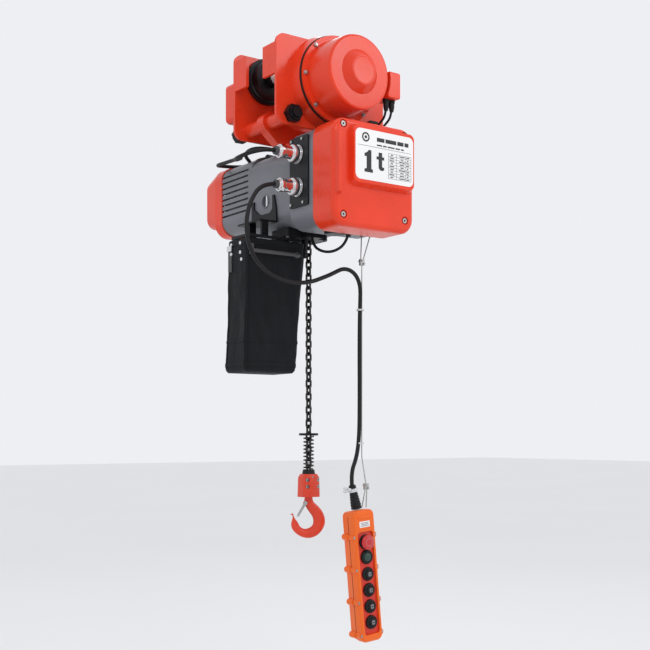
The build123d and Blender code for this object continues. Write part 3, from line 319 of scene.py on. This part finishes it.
def curve(name, splines, diameter, look, body, *stands_for, slot=None, ring=6):
    """Round cord as a curve: each spline is a list of control points in millimetres."""
    line = bpy.data.curves.new(name, "CURVE")
    line.dimensions = "3D"
    line.bevel_depth = diameter * MM / 2
    line.bevel_resolution = ring
    line.resolution_u = 10
    line.use_fill_caps = True
    for points in splines:
        spline = line.splines.new("NURBS")
        spline.points.add(len(points) - 1)
        for spot, point in zip(spline.points, points):
            spot.co = (*mm(*point), 1)
        spline.order_u = 3
        spline.use_endpoint_u = True
    item = bpy.data.objects.new(name, line)
    bpy.context.scene.collection.objects.link(item)
    line.materials.append(looks[look])
    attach(item, body)
    if stands_for:
        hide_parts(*stands_for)
    return item


def flat_shape(name, outline, place, look, body, depth=0.4):
    """Thin raised shape from (across, up) points in millimetres, facing place's -Y."""
    def build(shape):
        near, far = ([shape.verts.new(place @ mm(u, y, v)) for u, v in outline] for y in (-depth / 2,
                                                                                          depth / 2))
        shape.faces.new(near)
        shape.faces.new(list(reversed(far)))
        for i in range(len(outline)):
            j = (i + 1) % len(outline)
            shape.faces.new((near[j], near[i], far[i], far[j]))

    piece(name, mesh_of(name, build), look, body, smooth=0)


# ---------------------------------------------------------------- places taken from the CAD frame
def middle(node):
    """Centre of a CAD node's box, in millimetres."""
    low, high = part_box(node)
    return (low + high) / 2 / MM


FRONT = (0, -1, 0)
LEFT = (-1, 0, 0)
drive = middle("trolley_rotor")
label_low, label_high = (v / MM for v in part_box("label_plate"))
bag_low, bag_high = (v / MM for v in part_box("chain_bag"))


# ---------------------------------------------------------------- trolley details
def trolley_details():
    """Black ring of painted shade in the case seam, drum boss, cable sleeves, flange bolts, castle teeth and
    weld beads of the trolley.
    """
    seam_shade_y, boss_y, flange_y, bolt_circle, bolt_count = -146.6, -253.6, -163, 115, 8
    shaft_x, shaft_z, tooth_circle, tooth_count = 137, -95, 15.4, 6
    crowns = (-135.2, 165.2)
    # black ring that paints the shade of the gap between the gear case and the motor flange
    turned("case_seam_painted_shade", [(114.2, 1.6), (124.4, 0), (124.4, 7.2), (114.2, 6.2), (114.2, 1.6)],
           (drive.x, seam_shade_y, drive.z), FRONT, "black_rubber", "hoist", radius=1.2, steps=128)
    turned("drum_boss", [(60, 0), (58, 2.2), (42, 19), (39.5, 21.4), (36, 21.4), (34.5, 20.8), (0, 20.8)],
           (drive.x, boss_y, drive.z), FRONT, "orange_paint", "hoist", slot="orange_paint", radius=1.6,
           steps=160)
    sleeves = [((x, -230, -40), (0, 0, -1)) for x in (101, 121)]
    turned_set("motor_cable_glands", [(0, 0), (9.6, 0), (9.6, 9), (8, 10), (8, 20), (5.6, 33), (3.6, 34),
                                      (0, 34)],
               sleeves, "black_rubber", "hoist", radius=0.8)
    ring = [radians(360 / bolt_count * turn) for turn in range(bolt_count)]
    bolts = [((drive.x + bolt_circle * cos(a), flange_y, drive.z + bolt_circle * sin(a)),
              FRONT) for a in ring]
    turned_set("flange_bolts", [(0, 0), (6.4, 0), (6.4, 1.2), (4.8, 1.2), (4.8, 5.6), (3.8, 6.4), (0, 6.4)],
               bolts,
               "steel", "hoist", radius=0.4, steps=24)
    teeth = []
    for x in (-shaft_x, shaft_x):
        for crown_y in crowns:
            for turn in range(tooth_count):
                angle = radians(360 / tooth_count * turn + 30)
                at = mm(x + tooth_circle * cos(angle), crown_y, shaft_z + tooth_circle * sin(angle))
                teeth.append(((8, 6.4, 9), Matrix.Translation(at) @ Matrix.Rotation(-angle, 4, "Y")))
    block_set("castle_teeth", teeth, "black_steel", "hoist", 1.2)
    for side in (-1, 1):
        for x in (-177.5, 177.5):
            bead = [(x * 0.99, side * 102.2, z) for z in range(14, 97, 9)]
            curve(f"weld_{'fb'[side > 0]}_{'lr'[x > 0]}", [bead], 5, "orange_paint", "hoist",
                  slot="orange_paint")


# ---------------------------------------------------------------- electric cover and label
def label_print():
    """Printed label: a load mark, a plain emblem, a title and a table of lines."""
    face = label_low.y - 0.15
    left, right = label_low.x, label_high.x
    bottom, top = label_low.z, label_high.z
    width, height = right - left, top - bottom

    def spot(u, v):
        return (left + u * width, face, bottom + v * height)

    one = ((-14, -29), (14, -29), (14, -21), (9, -19), (9, 30), (0, 30), (-5, 24), (-14, 20), (-14, 12),
           (-7, 13),
           (-7, -19), (-14, -21))
    unit = ((-6, 24), (6, 24), (6, 13), (13, 13), (13, 5), (6, 5), (6, -12), (8, -15), (13, -14), (13, -21),
            (6, -24), (-1, -23), (-6, -17), (-6, 5), (-13, 5), (-13, 13), (-6, 13))
    flat_shape("label_load", one, Matrix.Translation(mm(*spot(0.22, 0.37))), "ink", "hoist")
    flat_shape("label_unit", unit, Matrix.Translation(mm(*spot(0.42, 0.40))), "ink", "hoist")
    words = []
    for v, high, spans in ((0.83, 10.5, (0.13, 0.19, 0.11, 0.07)),
                           (0.72, 3.6, (0.09, 0.06, 0.12, 0.08, 0.05))):
        u = 0.36
        for span in spans:
            words.append(((span * width, 0.3, high), Matrix.Translation(mm(*spot(u + span / 2, v)))))
            u += span + 0.018
    block_set("label_title_bars", words, "ink", "hoist", 0.08)
    turned("label_emblem", [(8.5, 0), (12.5, 0), (12.5, 0.5), (8.5, 0.5), (8.5, 0)], spot(0.17, 0.84),
           FRONT, "ink",
           "hoist", radius=0.1, steps=48)
    turned("label_emblem_dot", [(0, 0), (4, 0), (4, 0.5), (0, 0.5)], spot(0.17, 0.84), FRONT, "ink",
           "hoist", radius=0.1, steps=32)

    def table(shape):
        rows, first, last = 9, 0.10, 0.60
        for row in range(rows + 1):
            v = first + (last - first) * row / rows
            at = mm(*spot(0.76, v))
            soft_box(shape, (0.40 * width, 0.3, 0.7), Matrix.Translation(at), 0.05, 1)
            if row < rows:
                for u, span in ((0.62, 0.085), (0.80, 0.11), (0.90, 0.06)):
                    long = span * (0.72 + 0.28 * sin(row * 2.3 + u * 9)) * width
                    word = mm(*spot(u, v + 0.028))
                    soft_box(shape, (long, 0.3, 2.4), Matrix.Translation(word), 0.05, 1)
        for u in (0.56, 0.70, 0.86, 0.96):
            at = mm(*spot(u, (first + last) / 2))
            soft_box(shape, (0.7, 0.3, (last - first) * height), Matrix.Translation(at), 0.05, 1)

    piece("label_table", mesh_of("label_table", table), "ink", "hoist", smooth=0)

    def rule(shape):
        soft_box(shape, (0.92 * width, 0.3, 0.8), Matrix.Translation(mm(*spot(0.5, 0.67))), 0.05, 1)

    piece("label_rule", mesh_of("label_rule", rule), "ink", "hoist", smooth=0)


def sight_pin():
    """Silver pin and its seat in the round window on the gear body's left side."""
    window = (-112, 56, -303)
    pin = (-109, 52, -303)
    turned("sight_pin", [(0, -17), (4, -17), (4, 16), (3, 17.5), (0, 17.5)], pin, (0, 0, 1), "chrome",
           "hoist", steps=32)
    turned("sight_ring", [(16.8, 0), (19.5, 0), (19.5, 2), (16.8, 2), (16.8, 0)], window, LEFT, "grey_paint",
           "hoist", radius=0.5)


# ---------------------------------------------------------------- plug connectors
def plug_connector(name, node, z):
    """Chrome connector: round flange, knurled ring, printed barrel, stepped clamp and grey seal."""
    y, start, ridge_count, barrel_radius = -144.5, -135, 36, 17.25
    steps = [(0, 0), (25.5, 0), (25.5, 6), (20.5, 6), (20.5, 9), (22.5, 9), (22.5, 25), (20, 26), (17, 28),
             (17, 52), (18.6, 53), (18.6, 64), (14.5, 66), (14.5, 70), (0, 70)]
    turned(name, steps, (start, y, z), LEFT, "chrome", "hoist", node, slot="chrome", radius=0.9, steps=96)
    ridges = []
    for ridge in range(ridge_count):
        angle = tau * ridge / ridge_count
        at = mm(start - 17, y + 22.6 * cos(angle), z + 22.6 * sin(angle))
        ridges.append(((14, 1.8, 2.2), Matrix.Translation(at) @ Matrix.Rotation(angle, 4, "X")))
    block_set(name + "_ridges", ridges, "chrome", "hoist", 0.5)
    for turn in (0.9, 2.47, 4.04, 5.61):
        place = frame_at(mm(start - 33, y, z), LEFT) @ Matrix.Rotation(turn, 4, "Z")
        band(f"{name}_mark_{int(turn * 10)}", place, barrel_radius, 9, 0.5, "channel_red")
    turned(name + "_seal", [(6, 0), (12.2, 0), (11.4, 8.5), (6, 9), (6, 0)], (start - 70, y, z), LEFT,
           "bar_grey", "hoist",
           radius=0.8)


def band(name, place, radius, length, span, look):
    """Thin curved patch lying on a cylinder round place's Z, span in radians and length along it."""
    def build(shape):
        count = 12
        grid = []
        for step in range(count + 1):
            angle = -span / 2 + span * step / count
            row = []
            for r in (radius - 0.3, radius + 0.25):
                for height in (0, length):
                    row.append(shape.verts.new(place @ mm(r * cos(angle), r * sin(angle), height)))
            grid.append(row)
        for a, b in zip(grid, grid[1:]):
            for i, j in ((0, 1), (1, 3), (3, 2), (2, 0)):
                shape.faces.new((a[i], a[j], b[j], b[i]))
        for row in (grid[0], grid[-1]):
            shape.faces.new((row[0], row[1], row[3], row[2]))

    piece(name, mesh_of(name, build), look, "hoist", smooth=30)


# ---------------------------------------------------------------- chain bag
def ring_point(t, half_x, half_y, corner):
    """Point and outward direction on a rounded rectangle, t running from 0 to 1 round it."""
    straight_x, straight_y = 2 * (half_x - corner), 2 * (half_y - corner)
    arc = pi * corner / 2
    run = (straight_x, arc, straight_y, arc, straight_x, arc, straight_y, arc)
    along = t % 1.0 * sum(run)
    side = 0
    while along > run[side] and side < 7:
        along -= run[side]
        side += 1
    centres = ((-1, -1), (1, -1), (1, 1), (-1, 1))
    if side % 2:
        cx, cy = centres[(side // 2 + 1) % 4]
        angle = radians(-90 + 90 * (side // 2)) + along / corner
        direction = Vector((cos(angle), sin(angle)))
        centre = Vector((cx * (half_x - corner), cy * (half_y - corner)))
        return centre + direction * corner, direction
    quarter = side // 2
    normal = Vector(((0, -1), (1, 0), (0, 1), (-1, 0))[quarter])
    tangent = Vector(((1, 0), (0, 1), (-1, 0), (0, -1))[quarter])
    length = run[side]
    base = Vector((normal.x * half_x, normal.y * half_y))
    return base + tangent * (along - length / 2), normal


def chain_bag():
    """Open fabric bag: a flaring shell with folds, hems, seams, a bar, rivets and a strap."""
    rows, columns = 60, 160
    base_z, rim_z = bag_low.z + 1, bag_high.z
    top_x, top_y = -129, 24
    half_wide, half_deep, corner = 96.5, 52.5, 13
    wall = 2.2

    def shell_point(t, v, inset):
        half_x = half_wide - 10.5 * (1 - v) - inset
        half_y = half_deep + 7.5 * (1 - v) - inset
        at, out = ring_point(t, half_x, half_y, corner - inset * 0.6)
        x = top_x - 14 * (1 - v) + at.x
        y = top_y + 12 * (1 - v) + at.y
        z = base_z + (rim_z - base_z) * v
        belly = sin(pi * min(1, v * 1.15)) * 0.6
        wide = 3.4 * noise.noise(Vector((x * 0.011, y * 0.011, z * 0.008)))
        crease = 2.6 * noise.noise(Vector((x * 0.030, y * 0.030, z * 0.016 + x * 0.012 + 7)))
        fine = 0.7 * noise.noise(Vector((x * 0.09, y * 0.09, z * 0.05 + 3)))
        fade = min(1, v * 7) * min(1, (1 - v) * 9)
        push = (wide + crease + fine) * fade - 1.8 * belly
        round_foot = max(0, 1 - v * 18)
        pull = 9 * (1 - sqrt(max(0, 1 - round_foot**2)))
        x += out.x * (push - pull)
        y += out.y * (push - pull)
        return mm(x, y, z)

    def build(shape):
        skins = []
        for inset in (0.0, wall):
            grid = []
            for row in range(rows + 1):
                v = row / rows
                ring = [shape.verts.new(shell_point(c / columns, v, inset)) for c in range(columns)]
                if inset:
                    for vert in ring:
                        vert.co.z = max(vert.co.z, (base_z + wall) * MM)
                grid.append(ring)
            skins.append(grid)
        for grid in skins:
            for a, b in zip(grid, grid[1:]):
                for c in range(columns):
                    d = (c + 1) % columns
                    shape.faces.new((a[c], a[d], b[d], b[c]))
            foot = shape.verts.new(sum((v.co for v in grid[0]), Vector()) / columns)
            for c in range(columns):
                shape.faces.new((grid[0][c], grid[0][(c + 1) % columns], foot))
        outer, inner = skins[0][-1], skins[1][-1]
        for c in range(columns):
            d = (c + 1) % columns
            shape.faces.new((outer[c], outer[d], inner[d], inner[c]))

    piece("chain_bag_fabric", mesh_of("chain_bag_fabric", build), "fabric", "hoist", "chain_bag",
          slot="fabric", smooth=55)

    def strip(name, low, high, thick, look):
        """Band of webbing sewn round the bag between two heights."""
        def build_band(shape):
            count = 160
            levels = (low, (low + high) / 2, high)
            rings = []
            for out in (-0.5, thick):
                for v in levels if out > 0 else reversed(levels):
                    rings.append([shape.verts.new(shell_point(c / count, v, -out)) for c in range(count)])
            for a, b in zip(rings, rings[1:] + rings[:1]):
                for c in range(count):
                    d = (c + 1) % count
                    shape.faces.new((a[c], a[d], b[d], b[c]))
        piece(name, mesh_of(name, build_band), look, "hoist", smooth=50)

    strip("bag_top_hem", 0.955, 0.995, 1.6, "fabric")
    strip("bag_foot_hem", 0.045, 0.075, 1.0, "fabric")
    strip("bag_cross_seam", 0.225, 0.245, 1.1, "fabric")
    long_side, short_side, bend = 2 * (half_wide - corner), 2 * (half_deep - corner), pi * corner / 2
    around = 2 * (long_side + short_side + 2 * bend)
    first = (long_side + bend / 2) / around
    second = (long_side + bend + short_side + bend / 2) / around
    for number, t in enumerate((first, second, first + 0.5, second + 0.5)):
        seam = [tuple(shell_point(t, 0.03 + 0.95 * k / 24, -0.8) / MM) for k in range(25)]
        curve(f"bag_seam_{number}", [seam], 3.0, "fabric", "hoist")
    bar_z = rim_z - 37
    turned("bag_bar", [(0, 0), (5.6, 0), (5.6, 158), (0, 158)], (-214, -37, bar_z), (1, 0, 0), "bar_grey",
           "hoist",
           radius=2, steps=32)
    clips = [((10, 12, 30), Matrix.Translation(mm(-216, -34, bar_z + 4)))]
    clips += [((12, 9, 16), Matrix.Translation(mm(-66, -33.5, bar_z)))]
    block_set("bag_bar_clips", clips, "bar_grey", "hoist", 2)
    rivets = [((-226.4, y, rim_z + z), LEFT) for y, z in ((8, -12), (8, -38), (2, -58), (56, -12), (56, -38))]
    turned_set("bag_rivets", [(0, -2), (5.4, -2), (5.4, 1.2), (4, 2.6), (0, 3.2)], rivets, "chrome", "hoist")
    strap = [(-228.2, 62, rim_z - 16 - k * 8) for k in range(10)]

    def webbing(shape):
        rings = []
        for x, y, z in strap:
            rings.append([shape.verts.new(mm(x + a, y + b, z)) for a,
                          b in ((0, -9), (0, 9), (2.4, 9), (2.4, -9))])
        for a, b in zip(rings, rings[1:]):
            for i in range(4):
                shape.faces.new((a[i], a[(i + 1) % 4], b[(i + 1) % 4], b[i]))
        shape.faces.new(rings[0])
        shape.faces.new(list(reversed(rings[-1])))

    piece("bag_strap", mesh_of("bag_strap", webbing), "bar_grey", "hoist", smooth=30)
    block("bag_buckle", (4, 24, 16), Matrix.Translation(mm(-229.6, 62, rim_z - 22)), "chrome", "hoist", 1.4)


# ---------------------------------------------------------------- pendant
pendant_middle = (72.5, -1183 - 371 / 2)
tilt = radians(5.4)


def on_pendant(across, y, up):
    """Point in millimetres from the leaning pendant's own axes."""
    x = pendant_middle[0] + across * cos(tilt) - up * sin(tilt)
    z = pendant_middle[1] + across * sin(tilt) + up * cos(tilt)
    return (x, y, z)


def pendant_frame(across, y, up):
    """Matrix at a point on the pendant with X across it, Y inwards and Z up along it."""
    return Matrix.Translation(mm(*on_pendant(across, y, up))) @ Matrix.Rotation(-tilt, 4, "Y")


def pendant_details():
    """Darker red sheet in the button channel, boots, caps, button marks, label, screwed lobes and side
    gaskets.
    """
    channel, panel, split, lobes = -182.9, -183, -161, (112, 20, -72, -165)
    block("pendant_channel", (53.4, 0.7, 289.4), pendant_frame(0, channel, -20), "channel_red", "hoist", 0.3)
    heights = {"up_button": 5.5, "down_button": -40, "left_button": -86, "right_button": -131}
    arrow = ((0, 4.0), (3.4, 0), (1.3, 0), (1.3, -3.8), (-1.3, -3.8), (-1.3, 0), (-3.4, 0))
    headings = {"up_button": 0, "down_button": 180, "left_button": -90, "right_button": 90}
    for name, up in heights.items():
        at = on_pendant(0, panel, up)
        turned(name + "_boot", [(13.4, 0.4), (19.4, 0.4), (19.6, 2), (18.4, 6), (15.2, 8.6), (13.4, 8.6),
                                (13.4, 0.4)],
               at, FRONT, "black_rubber", "hoist", radius=0.9, steps=64)
        turned(name + "_cap", [(0, -6), (12.5, -6), (12.5, 8), (11.6, 10.2), (9, 11.6), (0, 12)], at, FRONT,
               "black_rubber", name, name, slot="black_rubber", radius=1.2)
        block(name + "_plate", (9.5, 1.4, 11), pendant_frame(0, -195.1, up), "mark_grey", name, 0.5)
        place = pendant_frame(0, -195.9, up) @ Matrix.Rotation(radians(headings[name]), 4, "Y")
        flat_shape(name + "_arrow", arrow, place, "ink", name, 0.3)
    at = on_pendant(0, panel, 53.5)
    turned("start_collar", [(13.2, 0.4), (20, 0.4), (20, 5), (17.6, 8), (13.2, 8), (13.2, 0.4)], at, FRONT,
           "black_plastic", "hoist", radius=1)
    turned("start_cap", [(0, -6), (12.5, -6), (12.5, 7.5), (11.4, 9), (0, 9.3)], at, FRONT, "green_plastic",
           "start_button", "start_button", slot="green_plastic", radius=1)
    at = on_pendant(0, panel, 96)
    turned("stop_collar", [(13.2, 0.4), (21, 0.4), (21, 3.4), (18, 5), (13.2, 5), (13.2, 0.4)], at, FRONT,
           "black_plastic", "hoist", radius=0.8)
    turned("stop_cap", [(0, -6), (12, -6), (12, 10), (20, 11), (21, 13.5), (20.4, 16.5), (17, 19.4),
                        (10, 20), (0, 20)],
           at, FRONT, "red_plastic", "stop_button", "stop_button", slot="red_plastic", radius=1.4)
    turned("stop_ring", [(9.6, 19.8), (10.8, 19.8), (10.8, 20.3), (9.6, 20.3), (9.6, 19.8)], at, FRONT,
           "mark_pink",
           "stop_button", radius=0.2)
    block("pendant_label", (36, 0.7, 17), pendant_frame(0, -188.1, 146), "label", "hoist", 0.3)
    lines = [((long, 0.3, 1.3), pendant_frame(0, -188.6, up)) for long,
             up in ((28, 150), (24, 146), (30, 142))]
    block_set("pendant_label_lines", lines, "ink", "hoist", 0.08)
    block("pendant_brow", (46, 5, 9), pendant_frame(0, -187.5, 166), "orange_plastic", "hoist", 2)
    screws = [(on_pendant(side * 35.5, -183.2, up), FRONT) for up in lobes for side in (-1, 1)]
    turned_set("lobe_screws", [(0, -1), (4.2, -1), (4.2, 1.4), (3.4, 2.2), (0, 2.2)], screws, "steel",
               "hoist",
               radius=0.4, steps=24)
    posts = [(on_pendant(side * 35.4, -134, up), FRONT) for up in lobes for side in (-1, 1)]
    turned_set("lobe_posts", [(0, 0), (8.4, 0), (9.4, 3), (9.4, 26.6), (0, 26.6)], posts, "orange_plastic",
               "hoist",
               radius=0.8, steps=40)
    seam = [on_pendant(*spot) for spot in ((-36.9, split, 168), (-36.9, split, 0), (-36.9, split, -168))]
    curve("pendant_gasket_left", [seam], 1.6, "black_rubber", "hoist")
    seam = [on_pendant(*spot) for spot in ((36.9, split, 168), (36.9, split, 0), (36.9, split, -168))]
    curve("pendant_gasket_right", [seam], 1.6, "black_rubber", "hoist")


def boot_and_clamps():
    """Ribbed rubber boot where the cable enters the pendant, its hose clamp and two ties on the cable."""
    top, foot = Vector((38, -157, -1115)), Vector((54, -157, -1181.5))
    along = foot - top
    length = along.length
    profile = [(6.2, 0.2), (9.6, 0.2), (10.2, 3)]
    ribs = 5
    for rib in range(ribs):
        start = 24 + rib * 7.4
        size = 11.6 + rib * 0.75
        profile += [(size - 0.9, start), (size + 0.6, start + 1.6), (size + 0.6, start + 4.2),
                    (size - 0.7, start + 5.8)]
    profile += [(15, length - 3), (15, length - 0.5), (6.2, length - 0.5), (6.2, 0.2)]
    turned("cable_boot_rubber", profile, top, along, "black_rubber", "hoist", "cable_boot",
           slot="black_rubber", radius=0.8)
    clamp = top + along.normalized() * 9
    turned("hose_clamp", [(10.6, 0), (12.4, 0), (12.4, 10), (10.6, 10), (10.6, 0)], clamp, along, "chrome",
           "hoist",
           radius=0.5)
    screw = clamp + along.normalized() * 5 + Vector((-15, -3, 0))
    bolts = [(screw + Vector((5, -2, z)), (-1, -0.25, 0)) for z in (-3, 5)]
    turned_set("hose_clamp_bolts", [(0, 0), (2.2, 0), (2.2, 27), (4.2, 27), (4.2, 31), (0, 31)], bolts,
               "chrome",
               "hoist", radius=0.4, steps=20)
    turned("hose_clamp_screw", [(0, -9), (4.4, -9), (4.4, -4), (3, -3.4), (3, 9), (0, 9)], screw,
           (0.5, 0.85, -0.1),
           "chrome", "hoist", radius=0.5, steps=24)
    block("hose_clamp_block", (9, 12, 9), Matrix.Translation(screw * MM), "steel", "hoist", 1.2)
    for number, (x, z) in enumerate(((67.4, -625), (67.4, -1000))):
        turned(f"cable_tie_{number}", [(9.4, 0), (10.8, 0), (10.8, 5), (9.4, 5), (9.4, 0)], (x, -157, z),
               (0, 0, 1),
               "ivory", "hoist", radius=0.5, steps=40)


# ---------------------------------------------------------------- cords
pendant_route = (
    (-205, -144.5, -302), (-252, -144.5, -305), (-292, -145, -358), (-306, -146, -428), (-290, -148, -495),
    (-244, -150, -542), (-180, -152, -563), (-110, -154, -561), (-46, -156, -536), (-19, -156.5, -523),
    (5, -157, -511.5), (30, -157, -512.5), (50, -157, -523.5), (63, -157, -543), (68, -157, -566),
    (67, -157, -600), (65, -157, -660), (64.5, -157, -750), (65, -157, -860), (64, -157, -975),
    (55, -157, -1036),
    (34.5, -157, -1080), (38, -157, -1116),
)
supply_route = (
    (-214, -144.5, -212), (-227, -144.5, -212.7), (-246, -141, -215), (-264, -130, -219),
    (-280, -112, -224), (-287, -80, -229),
    (-276, -44, -226), (-250, -10, -216), (-205, 42, -195), (-168, 98, -176), (-152, 165, -167),
    (-147, 228, -163), (-143.5, 262, -160), (-134.5, 290, -156.5), (-113, 311.5, -150), (-81, 316, -147),
    (-52, 300.5, -147),
    (-38, 271, -149), (-43.5, 239, -149.5), (-70, 213, -148), (-101, 184, -144.5), (-119, 146, -141.5),
    (-121, 106, -141), (-104, 76, -144), (-70, 58, -149), (-32, 54, -153), (2, 68, -155), (26, 96, -155),
    (50, 130, -152),
)
limit_route = (
    (-25, -53, -413), (-24, -57, -438), (-9, -84, -457), (11, -114, -457), (27, -143, -437), (31, -150, -409),
)
coil_middle = Vector((35, 222))
coil_layers = (-150.3, -138.9)
coil_outer, coil_step, coil_turns = 69.3, 11.4, 2.05


def coil_points():
    """Turns of the put-away coil: inwards on the lower layer, then outwards on the upper one."""
    points = []
    per_turn = 16
    count = int(coil_turns * per_turn)
    low, high = coil_layers
    for step in range(2, 2 * count + 1):
        turn = step / per_turn
        reach = coil_turns - abs(coil_turns - turn)
        radius = coil_outer - coil_step * reach
        angle = tau * turn - pi / 2
        rise = min(1, max(0, (step - count + 3) / 6))
        height = low + (high - low) * rise * rise * (3 - 2 * rise)
        points.append((coil_middle.x + radius * cos(angle), coil_middle.y + radius * sin(angle), height))
    middle_of_end = [(a + b) / 2 for a, b in zip(points[-2], points[-1])]
    return points[:-1] + [tuple(middle_of_end)]


def cords():
    """Pendant cable, supply cable with its coil and plug, and the short control cables."""
    pendant_size, limit_size, motor_size, supply_size = 11.5, 8, 6.5, 11
    pendant = curve("pendant_cable_cord", [pendant_route], pendant_size, "black_rubber", "hoist",
                    "pendant_cable",
                    slot="black_rubber", ring=10)
    loop = curve("limit_cable_cord", [limit_route], limit_size, "black_rubber", "hoist", "limit_cable",
                 slot="black_rubber", ring=8)
    for number, x in enumerate((101, 121)):
        route = [(x, y, z) for y, z in ((-230, -56), (-230, -86), (-198, -104), (-168, -119), (-165, -135))]
        stands_for = ("trolley_cables",) if number == 0 else ()
        motor = curve(f"trolley_cable_{number}", [route], motor_size, "black_rubber", "hoist", *stands_for,
                      slot="black_rubber",
                      ring=8)
    turned("limit_gland", [(4.2, -3), (8.5, -3), (8.5, 2), (6, 9), (4.2, 9), (4.2, -3)], (31, -150, -410),
           (0, 0, -1),
           "black_plastic", "hoist")
    plug = supply_plug()
    route = list(supply_route) + coil_points()
    cable = curve("supply_cable_cord", [route], supply_size, "black_rubber", "hoist", "supply_cable",
                  "supply_coil",
                  slot="black_rubber", ring=8)


def supply_plug():
    """Industrial plug lying inside the coil: shell, pins, grip and clamp nut."""
    start = (1, 222, -135.8)
    body = turned("supply_plug_shell", [(0, 6), (16, 6), (16.4, 0), (19.6, 0), (19.6, 26), (17, 28),
                                        (16, 48), (13, 56),
                                        (9, 58), (9, 66), (0, 66)], start, (1, 0, 0), "black_plastic",
                                        "hoist",
                  "supply_plug", slot="black_plastic")
    spots = []
    for pin in range(5):
        angle = tau * pin / 5
        spots.append(((start[0] + 1.5, start[1] + 9.5 * cos(angle), start[2] + 9.5 * sin(angle)), (1, 0, 0)))
    pins = turned_set("supply_plug_pins", [(0, 0), (2, 0), (2.4, 1), (2.4, 6), (0, 6)], spots, "steel",
                      "hoist",
                      radius=0.3, steps=20)
    return [body, pins]


# ---------------------------------------------------------------- chain guide and underside
def load_chain():
    """Load chain as one mesh."""
    wire, pitch, bend, straight = 3.15, 19.1, 7.35, 5.35
    lowest, links, arc, ring = -940.2, 33, 12, 12

    def build(shape):
        for link in range(links):
            wide = Vector((1, 0, 0)) if link % 2 == 0 else Vector((0, 1, 0))
            across = wide.cross(Vector((0, 0, 1)))
            centre = Vector((0, 0, lowest + link * pitch))
            loops = []
            for end in (1, -1):
                for step in range(arc + 1):
                    angle = pi * step / arc + (0 if end > 0 else pi)
                    out = wide * cos(angle) + Vector((0, 0, sin(angle)))
                    spot = centre + out * bend + Vector((0, 0, end * straight))
                    loops.append([
                        shape.verts.new((spot + (out * cos(turn) + across * sin(turn)) * wire) * MM)
                        for turn in (tau * side / ring for side in range(ring))
                    ])
            for a, b in zip(loops, loops[1:] + loops[:1]):
                for side in range(ring):
                    after = (side + 1) % ring
                    shape.faces.new((a[side], a[after], b[after], b[side]))

    chain = piece("load_chain_links", mesh_of("load_chain_links", build), "chain_steel", "hoist",
                  "load_chain",
                  slot="chain_steel", smooth=60)
    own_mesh(chain)


def underside():
    """Rim of the blanking plug under the housing and four screws on the chain guide."""
    turned("blank_plug_rim", [(0, 0), (30, 0), (30, 6), (26, 8), (0, 8)], (-16, -150, -410), (0, 0, -1),
           "black_plastic",
           "hoist", radius=1)
    screws = [((x, y, -414), (0, 0, -1)) for x in (-95, 34) for y in (-30, 30)]
    turned_set("guide_screws", [(0, 0), (4.5, 0), (4.5, 2.6), (0, 3.2)], screws, "steel", "hoist",
               radius=0.4, steps=24)


# ---------------------------------------------------------------- stage
def studio():
    """Pale floor, soft lights and the camera at the hoist's viewing angle."""
    size, floor_z, sky, sensor, lens_length = 60, -1.9, 0.9, 36, 60.92
    mesh = mesh_of("floor", lambda shape: bmesh.ops.create_grid(shape, x_segments=1, y_segments=1,
                                                                size=size / 2))
    mesh.transform(Matrix.Translation((0, 0, floor_z)))
    floor = bpy.data.objects.new("floor", mesh)
    bpy.context.scene.collection.objects.link(floor)
    pale = surface("pale_floor", (0.86, 0.86, 0.85), 0.985, (0.7, 0.8), cloud=0.6, grain=60, relief=0.0001)
    mesh.materials.append(pale)

    world = bpy.data.worlds.new("studio")
    bpy.context.scene.world = world
    world.use_nodes = True
    background = world.node_tree.nodes["Background"]
    background.inputs["Color"].default_value = (0.95, 0.96, 1.0, 1)
    background.inputs["Strength"].default_value = sky
    look_at = Vector((0, -0.05, -0.6))
    for name, spot, power, width in (
        ("key", (-1.2, -2.9, 1.5), 16, 1.4),
        ("fill", (2.6, -2.4, -0.6), 5, 2.2),
        ("rim", (1.9, 2.6, 1.6), 12, 1.4),
        ("face", (1.9, -2.65, 1.3), 11, 0.9),
    ):
        light = bpy.data.lights.new(name, "AREA")
        light.energy = power
        light.shape = "DISK"
        light.size = width
        lamp = bpy.data.objects.new(name, light)
        lamp.location = spot
        lamp.rotation_euler = (look_at - Vector(spot)).to_track_quat("-Z", "Y").to_euler()
        bpy.context.scene.collection.objects.link(lamp)

    lens = bpy.data.cameras.new("camera")
    lens.sensor_width = sensor
    lens.lens = lens_length
    lens.shift_y = 0.169
    camera = bpy.data.objects.new("camera", lens)
    camera.location = (-1.834, -2.605, -0.974)
    camera.rotation_euler = (radians(90), 0, radians(-36))
    bpy.context.scene.collection.objects.link(camera)
    bpy.context.scene.camera = camera
    bpy.context.scene.view_settings.view_transform = "Standard"


trolley_details()
label_print()
sight_pin()
plug_connector("supply_connector_body", "supply_connector", -212)
plug_connector("pendant_connector_body", "pendant_connector", -302)
chain_bag()
pendant_details()
boot_and_clamps()
cords()
load_chain()
underside()
studio()
